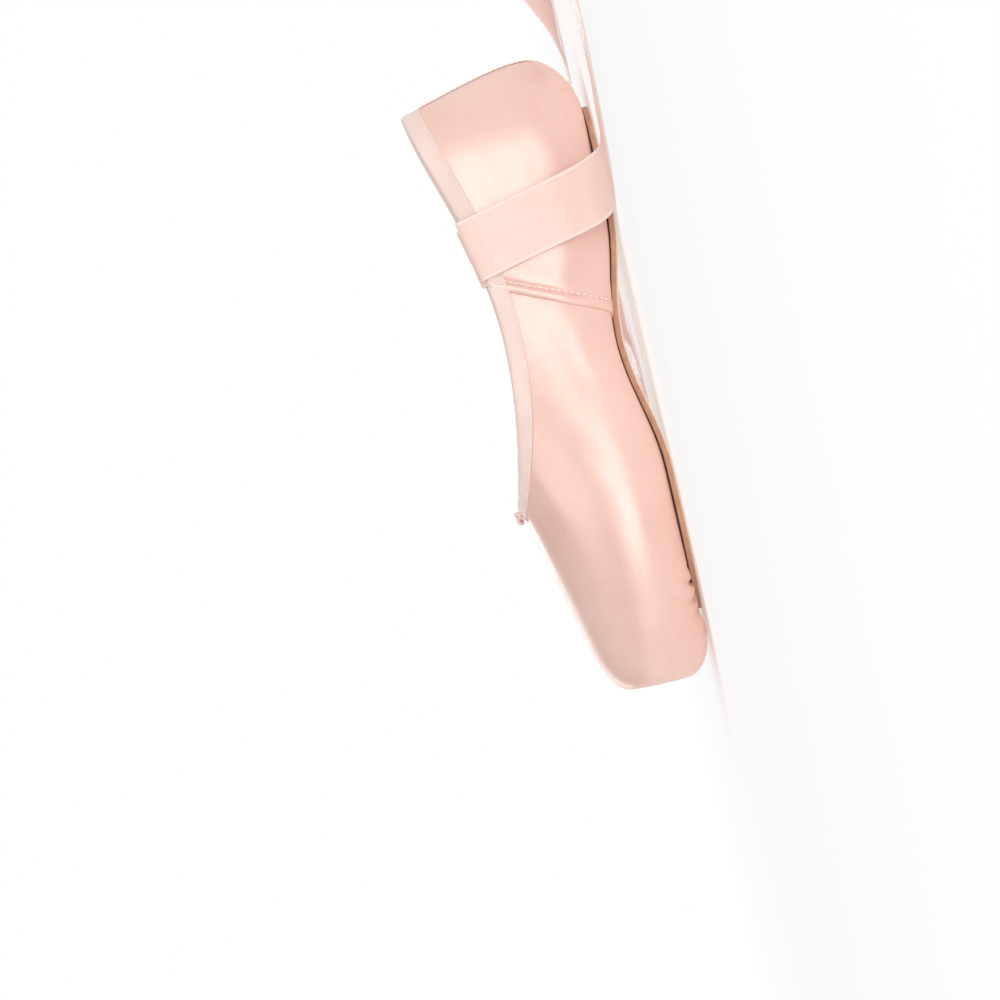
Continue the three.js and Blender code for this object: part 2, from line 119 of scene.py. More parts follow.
OUTSOLE_COLUMNS = ("s", "half")
OUTSOLE = [
    (20, 19),
    (40, 20),
    (62, 18.4),
    (97, 15.6),
    (130, 23.5),
    (155, 28.6),
    (172, 28.6),
    (188, 23.5),
    (200, 17),
]
OUTSOLE_TYPICAL_HALF = 24
OUTSOLE_START = 20
OUTSOLE_END = 200
OUTSOLE_HEEL_REACH = 17
OUTSOLE_TOE_REACH = 26

# The side seam, as s at the bottom and at the collar.
SEAM_LOW_S = 96
SEAM_HIGH_S = 76
SEAM_BOW = 1.2

# ---- smooth curves


def natural_cubic(at, value):
    """A smooth curve through values at growing places."""
    at = np.asarray(at, float)
    value = np.asarray(value, float)
    wide = np.diff(at)
    count = len(at)
    system = np.eye(count)
    known = np.zeros(count)
    for i in range(1, count - 1):
        system[i, i - 1 : i + 2] = wide[i - 1], 2 * (wide[i - 1] + wide[i]), wide[i]
        known[i] = 6 * ((value[i + 1] - value[i]) / wide[i] - (value[i] - value[i - 1]) / wide[i - 1])
    bend = np.linalg.solve(system, known)

    def curve(s):
        s = np.asarray(s, float)
        i = np.clip(np.searchsorted(at, s) - 1, 0, count - 2)
        left = (at[i + 1] - s) / wide[i]
        right = 1 - left
        sag = ((left**3 - left) * bend[i] + (right**3 - right) * bend[i + 1]) * wide[i] ** 2 / 6
        return left * value[i] + right * value[i + 1] + sag

    return curve


def curve_through(rows, columns, name):
    """A smooth curve through one column of a table."""
    return natural_cubic([row[0] for row in rows], [row[columns.index(name)] for row in rows])


plan_half = curve_through(LAST, LAST_COLUMNS, "half")
wide_height = curve_through(LAST, LAST_COLUMNS, "wide")
ridge_height = curve_through(LAST, LAST_COLUMNS, "ridge")
keel_depth = curve_through(LAST, LAST_COLUMNS, "keel")
collar_height = curve_through(COLLAR, COLLAR_COLUMNS, "height")
outsole_plan = curve_through(OUTSOLE, OUTSOLE_COLUMNS, "half")


def share(value):
    return np.clip(value, 0.0, 1.0)


def smooth(value):
    part = share(value)
    return part * part * (3 - 2 * part)


def roll_in(distance, reach):
    """A quarter of an ellipse: 0 at the end, 1 once reach is covered."""
    return np.sqrt(np.maximum(1 - (1 - share(np.asarray(distance) / reach)) ** 2, 0))


def bump(distance, wide):
    """A soft ridge across distance, 1 at its middle."""
    return np.exp(-((distance / wide) ** 2))


# ---- the last's surface


def arch_rise(s):
    return ARCH_RISE * np.sin(math.pi * share((np.asarray(s) - ARCH_START) / (ARCH_END - ARCH_START))) ** 2


def flat_bottom(s):
    level = OUTSOLE_THICK + SOLE_GAP + arch_rise(s)
    heel = HEEL_POLE - (HEEL_POLE - level) * roll_in(s, HEEL_UNDER_REACH)
    drop = TOE_DROP * smooth((s - TOE_DROP_START) / (TOE_DROP_END - TOE_DROP_START))
    rise = PLATFORM_UNDER * (1 - roll_in(LENGTH - s, PLATFORM_UNDER_ROLL))
    return heel - drop + rise


def closed_top(s):
    back = HEEL_BACK_RISE * np.sqrt(np.maximum((s / HEEL_BACK_REACH + 1) ** 2 - 1, 1e-9))
    roll = PLATFORM_TOP_FLAT + (1 - PLATFORM_TOP_FLAT) * roll_in(LENGTH - s, PLATFORM_TOP_ROLL)
    ridge = (ridge_height(s) - HEEL_POLE) * roll
    return HEEL_POLE + (back**-4 + ridge**-4) ** -0.25


def section(s):
    """Half width, widest height, bottom, and the reach above and below the widest line."""
    s = np.asarray(s, float)
    heel = roll_in(s, HEEL_PLAN_REACH)
    toe = PLATFORM_WIDTH_FLAT + (1 - PLATFORM_WIDTH_FLAT) * roll_in(LENGTH - s, PLATFORM_WIDTH_ROLL)
    bottom = flat_bottom(s)
    wide = wide_height(s)
    up = closed_top(s) - wide
    down = wide - bottom + keel_depth(s) * roll_in(s, HEEL_UNDER_REACH)
    return plan_half(s) * heel * toe, wide, bottom, up, down


def last_point(s, angle):
    """Width and height of the last's surface; angle 0 is the side, a quarter turn the top."""
    half, wide, bottom, up, down = section(s)
    across, upward = np.cos(angle), np.sin(angle)
    power = np.where(upward > 0, UPPER_POWER, LOWER_POWER)
    size = (np.abs(across) ** power + np.abs(upward) ** power) ** (1 / power)
    free = wide + np.where(upward > 0, up, down) * upward / size
    over = (free - bottom) / FEATHER_SOFTNESS
    height = bottom + FEATHER_SOFTNESS * np.logaddexp(0, over)
    return half * across / size, height


def outsole_half(s):
    heel = roll_in(s - OUTSOLE_START, OUTSOLE_HEEL_REACH)
    toe = roll_in(OUTSOLE_END - s, OUTSOLE_TOE_REACH)
    return outsole_plan(s) * heel * toe


def half_at(s, height):
    half, wide, _, up, _ = section(s)
    part = share((height - wide) / up)
    return half * (1 - part**UPPER_POWER) ** (1 / UPPER_POWER)


def cosine(count):
    """Shares from 0 to 1, close together at both ends."""
    return (1 - np.cos(np.linspace(0, math.pi, count))) / 2


def quarter_cosine(count):
    return np.cos(np.linspace(0, math.pi / 2, count))


def quarter_sine(count):
    """Shares from 0 to 1, close together at 1."""
    return np.sin(np.linspace(0, math.pi / 2, count))


def last_normal(s, angle):
    """Outward unit normals of the left half of the last."""
    safe = np.clip(s, 0.02, LENGTH - 0.002)
    reach = np.minimum(np.minimum(safe, LENGTH - safe) * 0.2, 0.2)
    before = last_point(safe - reach, angle)
    after = last_point(safe + reach, angle)
    along = np.stack([2 * reach, after[0] - before[0], after[1] - before[1]], axis=-1)
    turn = 1e-3
    below = last_point(safe, angle - turn)
    above = last_point(safe, angle + turn)
    around = np.stack([np.zeros_like(safe), above[0] - below[0], above[1] - below[1]], axis=-1)
    normal = np.cross(around, along)
    normal[np.cos(angle) < 1e-9, 1] = 0
    normal[s < 1e-6] = (-1, 0, 0)
    return normal / np.maximum(np.linalg.norm(normal, axis=-1, keepdims=True), 1e-12)


class HalfSkin:
    """The left half of the last's surface between the outsole and the collar, by s and v.

    v runs from the bottom edge, 0, to the collar or the top line, 1, by distance over the surface.
    The bottom edge is TUCK inside the outsole's outline.
    """

    AROUND = 420
    STEPS = 160
    TUCK = 6.0

    def __init__(self):
        stretches = [(0, COLLAR_BACK_S, 60), (COLLAR_BACK_S, THROAT_S, 420), (THROAT_S, LENGTH, 300)]
        self.s = np.unique(np.concatenate([a + (b - a) * cosine(n) for a, b, n in stretches]))
        angle = np.linspace(-math.pi / 2, math.pi / 2, self.AROUND)
        y, z = last_point(self.s[:, None], angle[None, :])
        step = np.hypot(np.diff(y, axis=1), np.diff(z, axis=1))
        along = np.concatenate([np.zeros((len(self.s), 1)), np.cumsum(step, axis=1)], axis=1)
        self.v = np.linspace(0, 1, self.STEPS)
        self.angle = np.empty((len(self.s), self.STEPS))
        self.along = np.empty((len(self.s), self.STEPS))
        self.wide_line = np.array([np.interp(0, angle, row) for row in along])
        for i, s in enumerate(self.s):
            place = along[i] + np.arange(self.AROUND) * 1e-9
            low = self.bottom_edge(s, y[i], place)
            high = self.top_edge(s, z[i], place)
            self.along[i] = low + (high - low) * self.v
            self.angle[i] = np.interp(self.along[i], place, angle)

    def bottom_edge(self, s, y, along):
        inner = (s - OUTSOLE_START - self.TUCK) / (OUTSOLE_END - OUTSOLE_START - 2 * self.TUCK)
        if not 0 < inner < 1:
            return along[0]
        whole = OUTSOLE_START + (OUTSOLE_END - OUTSOLE_START) * inner
        tucked = float(outsole_half(whole)) * (1 - self.TUCK / OUTSOLE_TYPICAL_HALF)
        lower = self.AROUND // 4
        return float(np.interp(tucked, y[:lower], along[:lower]))

    def top_edge(self, s, z, along):
        if not COLLAR_BACK_S < s < THROAT_S:
            return along[-1]
        upper = self.AROUND // 2
        return float(np.interp(float(collar_height(s)), z[upper:], along[upper:]))

    def at(self, s, v):
        """For grids of s and v: the section's angle, and the distances over the surface.

        The distances are from the middle of the sole, and from the widest line.
        """
        row = np.interp(s, self.s, np.arange(len(self.s)))
        column = np.interp(v, self.v, np.arange(self.STEPS))
        i = np.minimum(row.astype(int), len(self.s) - 2)
        j = np.minimum(column.astype(int), self.STEPS - 2)
        a, b = row - i, column - j

        def between(table):
            low = table[i, j] * (1 - b) + table[i, j + 1] * b
            high = table[i + 1, j] * (1 - b) + table[i + 1, j + 1] * b
            return low * (1 - a) + high * a

        along = between(self.along)
        return between(self.angle), along, along - np.interp(s, self.s, self.wide_line)


skin = HalfSkin()

# ---- meshes


def new_object(name, verts, faces, uvs=None):
    mesh = bpy.data.meshes.new(name)
    faces = faces if isinstance(faces, list) else faces.tolist()
    mesh.from_pydata((np.asarray(verts) * MM).tolist(), [], faces)
    if uvs is not None:
        layer = mesh.uv_layers.new(name="Weave")
        corner = np.empty(len(mesh.loops), dtype=np.int32)
        mesh.loops.foreach_get("vertex_index", corner)
        layer.data.foreach_set("uv", np.asarray(uvs, dtype=np.float32)[corner].ravel())
    mesh.polygons.foreach_set("use_smooth", np.ones(len(mesh.polygons), dtype=bool))
    made = bpy.data.objects.new(name, mesh)
    bpy.context.scene.collection.objects.link(made)
    return made


def grid_faces(rows, columns, start=0, wrap_rows=False, wrap_columns=False, flip=False):
    i = np.arange(rows if wrap_rows else rows - 1)[:, None]
    j = np.arange(columns if wrap_columns else columns - 1)[None, :]
    a = i * columns + j
    b = ((i + 1) % rows) * columns + j
    c = ((i + 1) % rows) * columns + (j + 1) % columns
    d = i * columns + (j + 1) % columns
    quads = np.stack([a, b, c, d], axis=-1).reshape(-1, 4) + start
    return quads[:, ::-1] if flip else quads


def weld(thing, distance=0.004):
    made = bmesh.new()
    made.from_mesh(thing.data)
    bmesh.ops.remove_doubles(made, verts=made.verts, dist=distance * MM)
    bmesh.ops.dissolve_degenerate(made, edges=made.edges, dist=distance * MM / 4)
    loose = [v for v in made.verts if not v.link_faces]
    bmesh.ops.delete(made, geom=loose, context="VERTS")
    made.to_mesh(thing.data)
    made.free()
    for face in thing.data.polygons:
        face.use_smooth = True


def thicken(thing, thick):
    """Gives a sheet its thickness, grown inwards from the surface that it has."""
    made = thing.modifiers.new("thickness", "SOLIDIFY")
    made.thickness = thick * MM
    made.offset = -1
    with bpy.context.temp_override(object=thing, active_object=thing):
        bpy.ops.object.modifier_apply(modifier=made.name)


def sheet_object(name, patches):
    """Joins patches of points, each with its weave coordinates and way round, in one mesh."""
    verts, faces, uvs, start = [], [], [], 0
    for points, uv, flip in patches:
        rows, columns = points.shape[:2]
        verts.append(points.reshape(-1, 3))
        uvs.append(uv.reshape(-1, 2))
        faces.append(grid_faces(rows, columns, start, flip=flip))
        start += rows * columns
    made = new_object(name, np.concatenate(verts), np.concatenate(faces), np.concatenate(uvs))
    weld(made)
    return made


def tube_object(name, rings, uvs, closed=False):
    """A closed body from rings of points; open ends are filled by a fan to their middle."""
    rows, columns = rings.shape[:2]
    verts = rings.reshape(-1, 3)
    uv = uvs.reshape(-1, 2)
    faces = grid_faces(rows, columns, wrap_rows=closed, wrap_columns=True).tolist()
    if not closed:
        for row, way in ((0, 1), (rows - 1, -1)):
            ring = np.arange(row * columns, (row + 1) * columns)
            faces += [[len(verts), int(a), int(b)][::way] for a, b in zip(ring, np.roll(ring, -1))]
            verts = np.concatenate([verts, rings[row].mean(axis=0, keepdims=True)])
            uv = np.concatenate([uv, uv[ring].mean(axis=0, keepdims=True)])
    return new_object(name, verts, faces, uv)


def unit(vectors):
    return vectors / np.maximum(np.linalg.norm(vectors, axis=-1, keepdims=True), 1e-12)


def distance_along(points):
    """The distance covered at each point of a line."""
    step = np.linalg.norm(np.diff(points, axis=0), axis=1)
    return np.concatenate([[0], np.cumsum(step)])


def places_at(at, run, values):
    """The values, one row a point of a line, at other distances along it."""
    return np.stack([np.interp(at, run, column) for column in values.T], axis=-1)


def weave(along, across):
    """Weave coordinates, in metres, for a grid of distances along and across the cloth."""
    return np.stack(np.broadcast_arrays(along * MM, across * MM), axis=-1)


def beads(name, places, along, up, long, wide, high):
    """Many small rounded stitches in one mesh: each lies along one direction and faces another."""
    turns, rings = 10, 5
    tilt = np.linspace(0, 2 * math.pi, turns, endpoint=False)
    rise = np.linspace(-math.pi / 2, math.pi / 2, rings + 2)[1:-1]
    ball = [(-1, 0, 0)]
    ball += [(math.sin(r), math.cos(r) * math.cos(t), math.cos(r) * math.sin(t)) for r in rise for t in tilt]
    ball.append((1, 0, 0))
    ball = np.array(ball) * (long / 2, wide / 2, high / 2)
    faces = [[0, 1 + (k + 1) % turns, 1 + k] for k in range(turns)]
    faces += grid_faces(rings, turns, start=1, wrap_columns=True, flip=True).tolist()
    last = 1 + (rings - 1) * turns
    faces += [[len(ball) - 1, last + k, last + (k + 1) % turns] for k in range(turns)]
    forward = unit(along)
    side = unit(np.cross(up, forward))
    top = np.cross(forward, side)
    verts = (
        places[:, None, :]
        + ball[None, :, 0:1] * forward[:, None, :]
        + ball[None, :, 1:2] * side[:, None, :]
        + ball[None, :, 2:3] * top[:, None, :]
    )
    joined = [[k + at * len(ball) for k in face] for at in range(len(places)) for face in faces]
    return new_object(name, verts.reshape(-1, 3), joined)


# Columns: distance between stitches, then each one's length, width and height.
STITCHES = {
    "side_seam": (2.15, 1.65, 0.85, 0.85),
    "back_seam": (2.0, 1.3, 0.34, 0.28),
    "binding": (2.1, 1.25, 0.36, 0.26),
    "ribbon": (1.9, 1.25, 0.4, 0.3),
}


def walk(points, normals, pitch, inset=0.0):
    """Places at a steady pitch along a line of points, with the way ahead and the way up."""
    run = distance_along(points)
    at = np.arange(inset, run[-1] - inset, pitch)
    slope = np.gradient(points, run, axis=0)
    place, ahead, up = (places_at(at, run, line) for line in (points, slope, normals))
    return place, unit(ahead), unit(up)


# ---- camera

# The photo's view, from the wearer's left and level with the floor, with the heel turned up.
CAMERA_AIM = Vector((0.0365, 0.0, 0.0608))
CAMERA_AWAY = 1.5
FRAME_WIDE = 0.35
CAMERA_TURN = math.radians(77.11702)


def add_camera():
    data = bpy.data.cameras.new("camera")
    data.sensor_width = 36.0
    data.lens = data.sensor_width * CAMERA_AWAY / FRAME_WIDE
    data.clip_start = 0.01
    data.clip_end = 50.0
    camera = bpy.data.objects.new("camera", data)
    bpy.context.scene.collection.objects.link(camera)
    right = Vector((math.cos(CAMERA_TURN), 0.0, -math.sin(CAMERA_TURN)))
    back = Vector((0.0, 1.0, 0.0))
    up = back.cross(right)
    place = Matrix((right, up, back)).transposed().to_4x4()
    place.translation = CAMERA_AIM + back * CAMERA_AWAY
    camera.matrix_world = place
    bpy.context.scene.camera = camera


add_camera()

# ---- ribbons

# Each is sewn inside the quarter, comes up over the collar, hangs down the side and lies on the
# floor. Columns: x, y, z, turn, the compass angle of the way across it, and dip, how far that side
# is tipped down. The height of what lies on the floor follows from its dip.
DRAPE = [
    (-54.3, 23.1, 27.5, 0, 13),
    (-51.8, 23.1, 38.5, 0, 13),
    (-49.7, 23.2, 47.6, 0, 13),
    (-49, 24, 51.2, 0, 13),
    (-48.9, 25.6, 52.2, 0, 13),
    (-49, 27.2, 51.2, 0, 13),
    (-49.8, 28, 47.6, 0, 13),
    (-52.2, 28.2, 37.5, 0, 13),
    (-54.7, 28.5, 26.5, 0, 13),
    (-57, 29.3, 16.2, 0, 12),
    (-59, 31.8, 8.2, 2, 9),
    (-61, 37, 3.3, 7, 4),
]
# Columns: x, y, turn, dip.
LEFT_LIE = [
    (-63.5, 46, 13, 0),
    (-68, 61, 20, 0),
    (-76, 75, 32, 0),
    (-87.5, 87, 44, 0),
    (-101.5, 96.5, 56, 0),
    (-117.5, 102.5, 69, 2),
    (-134.5, 104, 86, 20),
    (-151, 99.5, 108, 42),
    (-163, 87.5, 138, 53),
    (-166, 71, 168, 47),
    (-160.5, 54.5, 194, 26),
    (-152, 38.5, 203, 4),
    (-146, 21.5, 194, -20),
    (-145, 3.5, 172, -42),
    (-151, -13.5, 152, -45),
    (-161, -28.5, 146, -22),
    (-170.5, -44, 153, 6),
    (-173.5, -61.5, 176, 32),
    (-168.5, -78.5, 200, 50),
    (-156.5, -91.5, 226, 42),
    (-141, -100.5, 244, 18),
    (-124, -106.5, 251, 0),
    (-110, -111, 251, 0),
]
RIGHT_LIE = [
    (-63.5, -46, -12, -1),
    (-66, -62, -6, -15),
    (-63.5, -79, 18, -40),
    (-52.5, -92, 56, -58),
    (-35.5, -95, 89, -54),
    (-19.5, -88, 115, -36),
    (-5, -77, 127, -8),
    (10, -68, 117, 18),
    (27.5, -64, 92, 42),
    (44, -69.5, 62, 53),
    (55.5, -83, 30, 56),
    (58, -100, -2, 53),
    (50.5, -116, -38, 45),
    (35, -124.5, -70, 31),
    (17.5, -125.5, -92, 9),
    (0, -122.5, -98, -8),
    (-17, -121, -85, -22),
    (-33.5, -125, -68, -22),
    (-49, -133, -60, -6),
    (-64.5, -141.5, -62, 0),
    (-80.5, -149, -66, 0),
    (-98, -155, -70, 0),
]
RIBBON_HANGS = 95
RIBBON_END_SLANT = 5
RIBBON_WAVE = 0.22
RIBBON_STEPS = 420
RIBBON_COLUMNS = 15
# Columns: word, side, lie, length in metres.
RIBBONS = (("left", 1, LEFT_LIE, 0.476), ("right", -1, RIGHT_LIE, 0.463))


def rest_height(dip):
    """The height of the ribbon's middle when it is tipped by dip with its lower edge on the floor."""
    tip = np.radians(np.abs(dip))
    return RIBBON_WIDE / 2 * np.sin(tip) + RIBBON_THICK / 2 * np.cos(tip)


def through_points(points, count):
    """A centripetal Catmull-Rom line through points, and each point's place along it."""
    padded = np.vstack([2 * points[0] - points[1], points, 2 * points[-1] - points[-2]])
    place = np.linspace(0, len(points) - 1, count)
    first = np.minimum(place.astype(int), len(points) - 2)
    part = (place - first)[:, None]
    p0, p1, p2, p3 = (padded[first + k] for k in range(4))
    pairs = ((p0, p1), (p1, p2), (p2, p3))
    gap0, gap1, gap2 = (np.sqrt(np.linalg.norm(b - a, axis=1))[:, None] for a, b in pairs)
    leave = ((p1 - p0) / gap0 - (p2 - p0) / (gap0 + gap1) + (p2 - p1) / gap1) * gap1
    arrive = ((p2 - p1) / gap1 - (p3 - p1) / (gap1 + gap2) + (p3 - p2) / gap2) * gap1
    cubic = 2 * p1 - 2 * p2 + leave + arrive
    square = -3 * p1 + 3 * p2 - 2 * leave - arrive
    return ((cubic * part + square) * part + leave) * part + p1, place


def soften(values, reach=9):
    """A running mean that keeps the ends."""
    padded = np.pad(values, reach, mode="edge")
    return np.convolve(padded, np.full(2 * reach + 1, 1 / (2 * reach + 1)), mode="valid")


def ribbon_frame(side, lie):
    """The ribbon's middle line, the way across it and the way its face looks."""
    rows = [(x, side * y, z, side * turn, dip) for x, y, z, turn, dip in DRAPE]
    rows += [(x, y, float(rest_height(dip)), turn, dip) for x, y, turn, dip in lie]
    table = np.array(rows, float)
    middle, place = through_points(table[:, :3], RIBBON_STEPS)
    turn, dip = (soften(np.radians(angle)) for angle in places_at(place, range(len(table)), table[:, 3:]).T)
    ahead = unit(np.gradient(middle, axis=0))
    across = np.stack([np.cos(turn) * np.cos(dip), np.sin(turn) * np.cos(dip), -np.sin(dip)], axis=-1)
    across = unit(across - (across * ahead).sum(axis=1, keepdims=True) * ahead)
    face = np.cross(across, ahead)
    tip = np.degrees(np.arcsin(np.abs(across[:, 2])))
    middle[:, 2] = np.maximum(middle[:, 2], rest_height(tip))
    return middle, across, face, ahead


def ribbon(name, side, lie):
    """A flat band with firm edges and a slanting cut end, standing for the CAD node of this name."""
    middle, across, face, ahead = ribbon_frame(side, lie)
    run = distance_along(middle)
    wide = np.sin(np.linspace(-math.pi / 2, math.pi / 2, RIBBON_COLUMNS)) * RIBBON_WIDE / 2
    part = wide / RIBBON_WIDE
    edge = 2 * np.abs(part)
    selvage = 0.05 * bump(edge - 0.93, 0.05)
    half_thick = RIBBON_THICK / 2 * (1 - 0.35 * smooth((edge - 0.9) / 0.1)) + selvage
    slant = RIBBON_END_SLANT * smooth((run - run[-1] + 12) / 12)[:, None] * part[None, :]
    lies = smooth((run - RIBBON_HANGS) / 30)[:, None]
    wave = RIBBON_WAVE * np.sin(run / 11.0)[:, None] * np.sin(3.1 * part)[None, :] * lies
    sheet = middle[:, None, :] + across[:, None, :] * wide[None, :, None]
    sheet = sheet + ahead[:, None, :] * slant[..., None]
    top = sheet + face[:, None, :] * (np.abs(wave) + half_thick[None, :])[..., None]
    low = sheet + face[:, None, :] * (np.abs(wave) - half_thick[None, :])[..., None]
    rings = np.concatenate([top, low[:, ::-1]], axis=1)
    rings[..., 2] = np.maximum(rings[..., 2], 0.0)
    uvs = weave(run[:, None], np.concatenate([wide, wide[::-1]]))
    made = tube_object(f"{name}_cloth", rings, uvs)
    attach(made, "root")
    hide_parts(name)
    return made


def ribbon_stitches(name, side, lie):
    """A box of stitches that holds the ribbon's end inside the quarter."""
    middle, across, face, _ = ribbon_frame(side, lie)
    run = distance_along(middle)
    start, end = 1.8, 12.5
    edge = RIBBON_WIDE / 2 - 1.6
    corners = np.array([(end, -edge), (start, -edge), (start, edge), (end, edge), (end, -edge)])
    part = np.linspace(0, len(corners) - 1, 161)
    box_run, box_across = places_at(part, range(len(corners)), corners).T
    centre, across, inward = (places_at(box_run, run, values) for values in (middle, across, side * face))
    line = centre + across * box_across[:, None] + inward * RIBBON_THICK / 2
    pitch, *size = STITCHES["ribbon"]
    return beads(name, *walk(line, inward, pitch), *size)


ribbons = [ribbon(f"ribbon_{word}", side, lie) for word, side, lie, length in RIBBONS]

# ---- relief of the satin

# Pleats under the toe fan out from this place, in s.
FAN_CENTRE_S = 184
PLEATS_FADE_IN_S = 182
PLEAT_DEPTH = 1.55
# Columns: compass angle from the toe line in degrees, where the pleat starts and ends from the fan's
# centre, depth, width, curl.
PLEATS = [
    (4, 14, 44, 0.75, 1.0, 0.05),
    (15, 14, 47, 0.85, 1.1, 0.1),
    (26, 13, 41, 0.7, 1.0, 0.16),
    (37, 13, 45, 0.85, 1.15, 0.2),
    (49, 13, 39, 0.7, 1.0, 0.26),
    (61, 14, 46, 0.95, 1.2, 0.28),
    (74, 15, 43, 0.9, 1.1, 0.28),
    (89, 17, 42, 0.75, 1.2, 0.25),
    (-7, 14, 42, 0.75, 1.0, -0.06),
    (-18, 14, 46, 0.8, 1.1, -0.12),
    (-30, 13, 40, 0.75, 1.0, -0.16),
    (-42, 13, 45, 0.8, 1.15, -0.22),
    (-54, 13, 38, 0.7, 1.0, -0.26),
    (-67, 15, 46, 0.85, 1.2, -0.28),
    (-82, 16, 42, 0.8, 1.2, -0.26),
]


def toe_pleats(x, y, z, s):
    """Height of the gathered satin under the toe."""
    east = x - (FAN_CENTRE_S - LENGTH / 2)
    climb = np.maximum(z - flat_bottom(np.minimum(s, LENGTH - 6)), 0)
    distance = np.hypot(east, y) + 0.85 * climb
    turn = np.arctan2(y, np.maximum(east, -8))
    high = np.zeros_like(x)
    for degrees, start, end, depth, wide, curl in PLEATS:
        along = share((distance - start) / (end - start))
        off = (turn - math.radians(degrees) - curl * along**2) * np.minimum(distance, 34)
        fade = smooth((distance - start) / 4) * (1 - smooth(along)) ** 0.8
        valley = wide * (0.6 + 0.8 * along)
        ridges = bump(off - 2.2 * valley, 1.4 * valley) + bump(off + 2.2 * valley, 1.4 * valley)
        high += PLEAT_DEPTH * depth * fade * (0.45 * ridges - bump(off, valley))
    return high * smooth((s - PLEATS_FADE_IN_S) / 8)


# Soft troughs, each between two places given by s and the distance above the widest line.
# Columns: s and climb where it starts, s and climb where it ends, depth, width.
TROUGHS = [
    (128, 34, 158, 6, 0.3, 5.5),
    (120, 27, 146, -2, 0.25, 5.0),
    (100, -9, 124, -14, 0.3, 3.2),
    (97, 1, 126, -3, 0.2, 4.2),
    (70, -14, 92, -3, 0.3, 4.0),
    (58, -15, 80, -12, 0.25, 3.4),
    (62, 22, 84, 12, 0.22, 3.6),
    (24, 23, 52, 9, 0.22, 5.0),
    (14, -3, 34, -10, 0.2, 4.5),
    (36, -2, 60, -9, 0.18, 4.0),
]


def soft_troughs(y, s, climb):
    """Broad creases; the two sides differ a little, and agree where they meet."""
    side = np.clip(y / 20, -1, 1)
    high = np.zeros_like(s)
    for k, (start, low, end, top, depth, wide) in enumerate(TROUGHS):
        shift = 3.0 * side * math.sin(2.1 * k + 0.6)
        long = math.hypot(end - start, top - low)
        ux, uy = (end - start) / long, (top - low) / long
        east, north = s - start - shift, climb - low
        along = east * ux + north * uy
        off = north * ux - east * uy
        fade = bump(along - long / 2, long * 0.48)
        high += depth * fade * (0.45 * bump(off - 1.9 * wide, 1.4 * wide) - bump(off, wide))
    return high * smooth((LENGTH - s) / 18)


HEEL_GATHER_DEPTH = 0.16


def heel_gathers(x, y, z, s):
    """Small pleats where the satin turns under the heel."""
    turn = np.arctan2(np.abs(y), x - (30 - LENGTH / 2))
    low = 1 - smooth((z - 3) / 9)
    near = 1 - smooth((s - 12) / 14)
    ripple = np.sin(turn * 21 + 0.8 * np.sin(turn * 5)) + 0.5 * np.sin(turn * 34 + 1)
    return HEEL_GATHER_DEPTH * low * near * ripple


def satin_relief(points, s, climb):
    x, y, z = points[..., 0], points[..., 1], points[..., 2]
    return toe_pleats(x, y, z, s) + soft_troughs(y, s, climb) + heel_gathers(x, y, z, s)


# ---- upper

SEAM_LIFT = 0.35
SEAM_PUFF = 0.3
STITCH_PULL = 0.4
FOLD_DROP = 0.3
VAMP_SINK = 0.25
SEAM_LAP = 6.0
SEAM_ZONE = 9
STITCH_FROM_FOLD = 4.2
STITCH_LEAN = 0.45
STITCH_PROUD = 0.16
PLEATS_FROM_S = 180


def seam_s(v):
    """Where the side seam is at height v."""
    return SEAM_LOW_S + (SEAM_HIGH_S - SEAM_LOW_S) * v + SEAM_BOW * np.sin(math.pi * v)


def skin_points(s, v, side, lift, relief=False):
    """Points, outward normals and distance over the skin, for grids of s and v on one side."""
    angle, along, climb = skin.at(s, v)
    y, z = last_point(s, angle)
    y = np.where(np.cos(angle) < 1e-9, 0.0, y)
    normal = last_normal(s, angle)
    points = np.stack([s - LENGTH / 2, side * y, z], axis=-1)
    normal[..., 1] *= side
    height = lift + (satin_relief(points, s, climb) if relief else 0.0)
    return points + normal * height[..., None], normal, along


def quarter_lift(s, v):
    """The quarter lies over the vamp, its folded edge a little puffed, its stitches pulled in."""
    back = seam_s(v) - s
    puff = SEAM_PUFF * bump(back - 2.0, 1.5) - STITCH_PULL * bump(back - STITCH_FROM_FOLD, 0.95)
    fold = -FOLD_DROP * (1 - smooth(back / 0.8))
    return SEAM_LIFT * smooth((SEAM_LAP + 8 - back) / 8) + puff + fold


def vamp_lift(s, v):
    """The vamp sinks a little where it goes under the quarter."""
    front = s - seam_s(v)
    return -VAMP_SINK * (1 - smooth((front + 1) / 4))


def grid_rows(lines, shares, columns):
    """Grid rows of s through several lines of s, at shares of the way between each two."""
    lines = [np.broadcast_to(line, columns) for line in lines]
    rows = [lines[0][None]]
    for start, end, part in zip(lines, lines[1:], shares):
        rows.append(start + (end - start) * part[1:, None])
    return np.concatenate(rows)


def satin_quarter(name, side, columns=90):
    v = np.linspace(0, 1, columns)
    seam = seam_s(v)
    lines = (0, COLLAR_BACK_S, seam - SEAM_ZONE, seam)
    s = grid_rows(lines, (cosine(26), cosine(64) ** 0.9, np.linspace(0, 1, 34)), columns)
    v = np.broadcast_to(v, s.shape)
    points, _, along = skin_points(s, v, side, quarter_lift(s, v), relief=True)
    made = sheet_object(name, [(points, weave(s, along), side > 0)])
    thicken(made, SATIN_THICK)
    return made


def platform_cap(rim, lift_at, rings=26, dome=0.5):
    """The flat end of the toe: the rim's points drawn in to its middle, slightly domed."""
    middle = np.array([LENGTH / 2, 0.0, (rim[:, 2].min() + rim[:, 2].max()) / 2])
    part = quarter_sine(rings)[:, None, None]
    cap = rim[None] + (middle - rim[None]) * part
    cap[..., 0] += dome * part[..., 0] + lift_at(cap) - lift_at(cap[:1])
    return cap


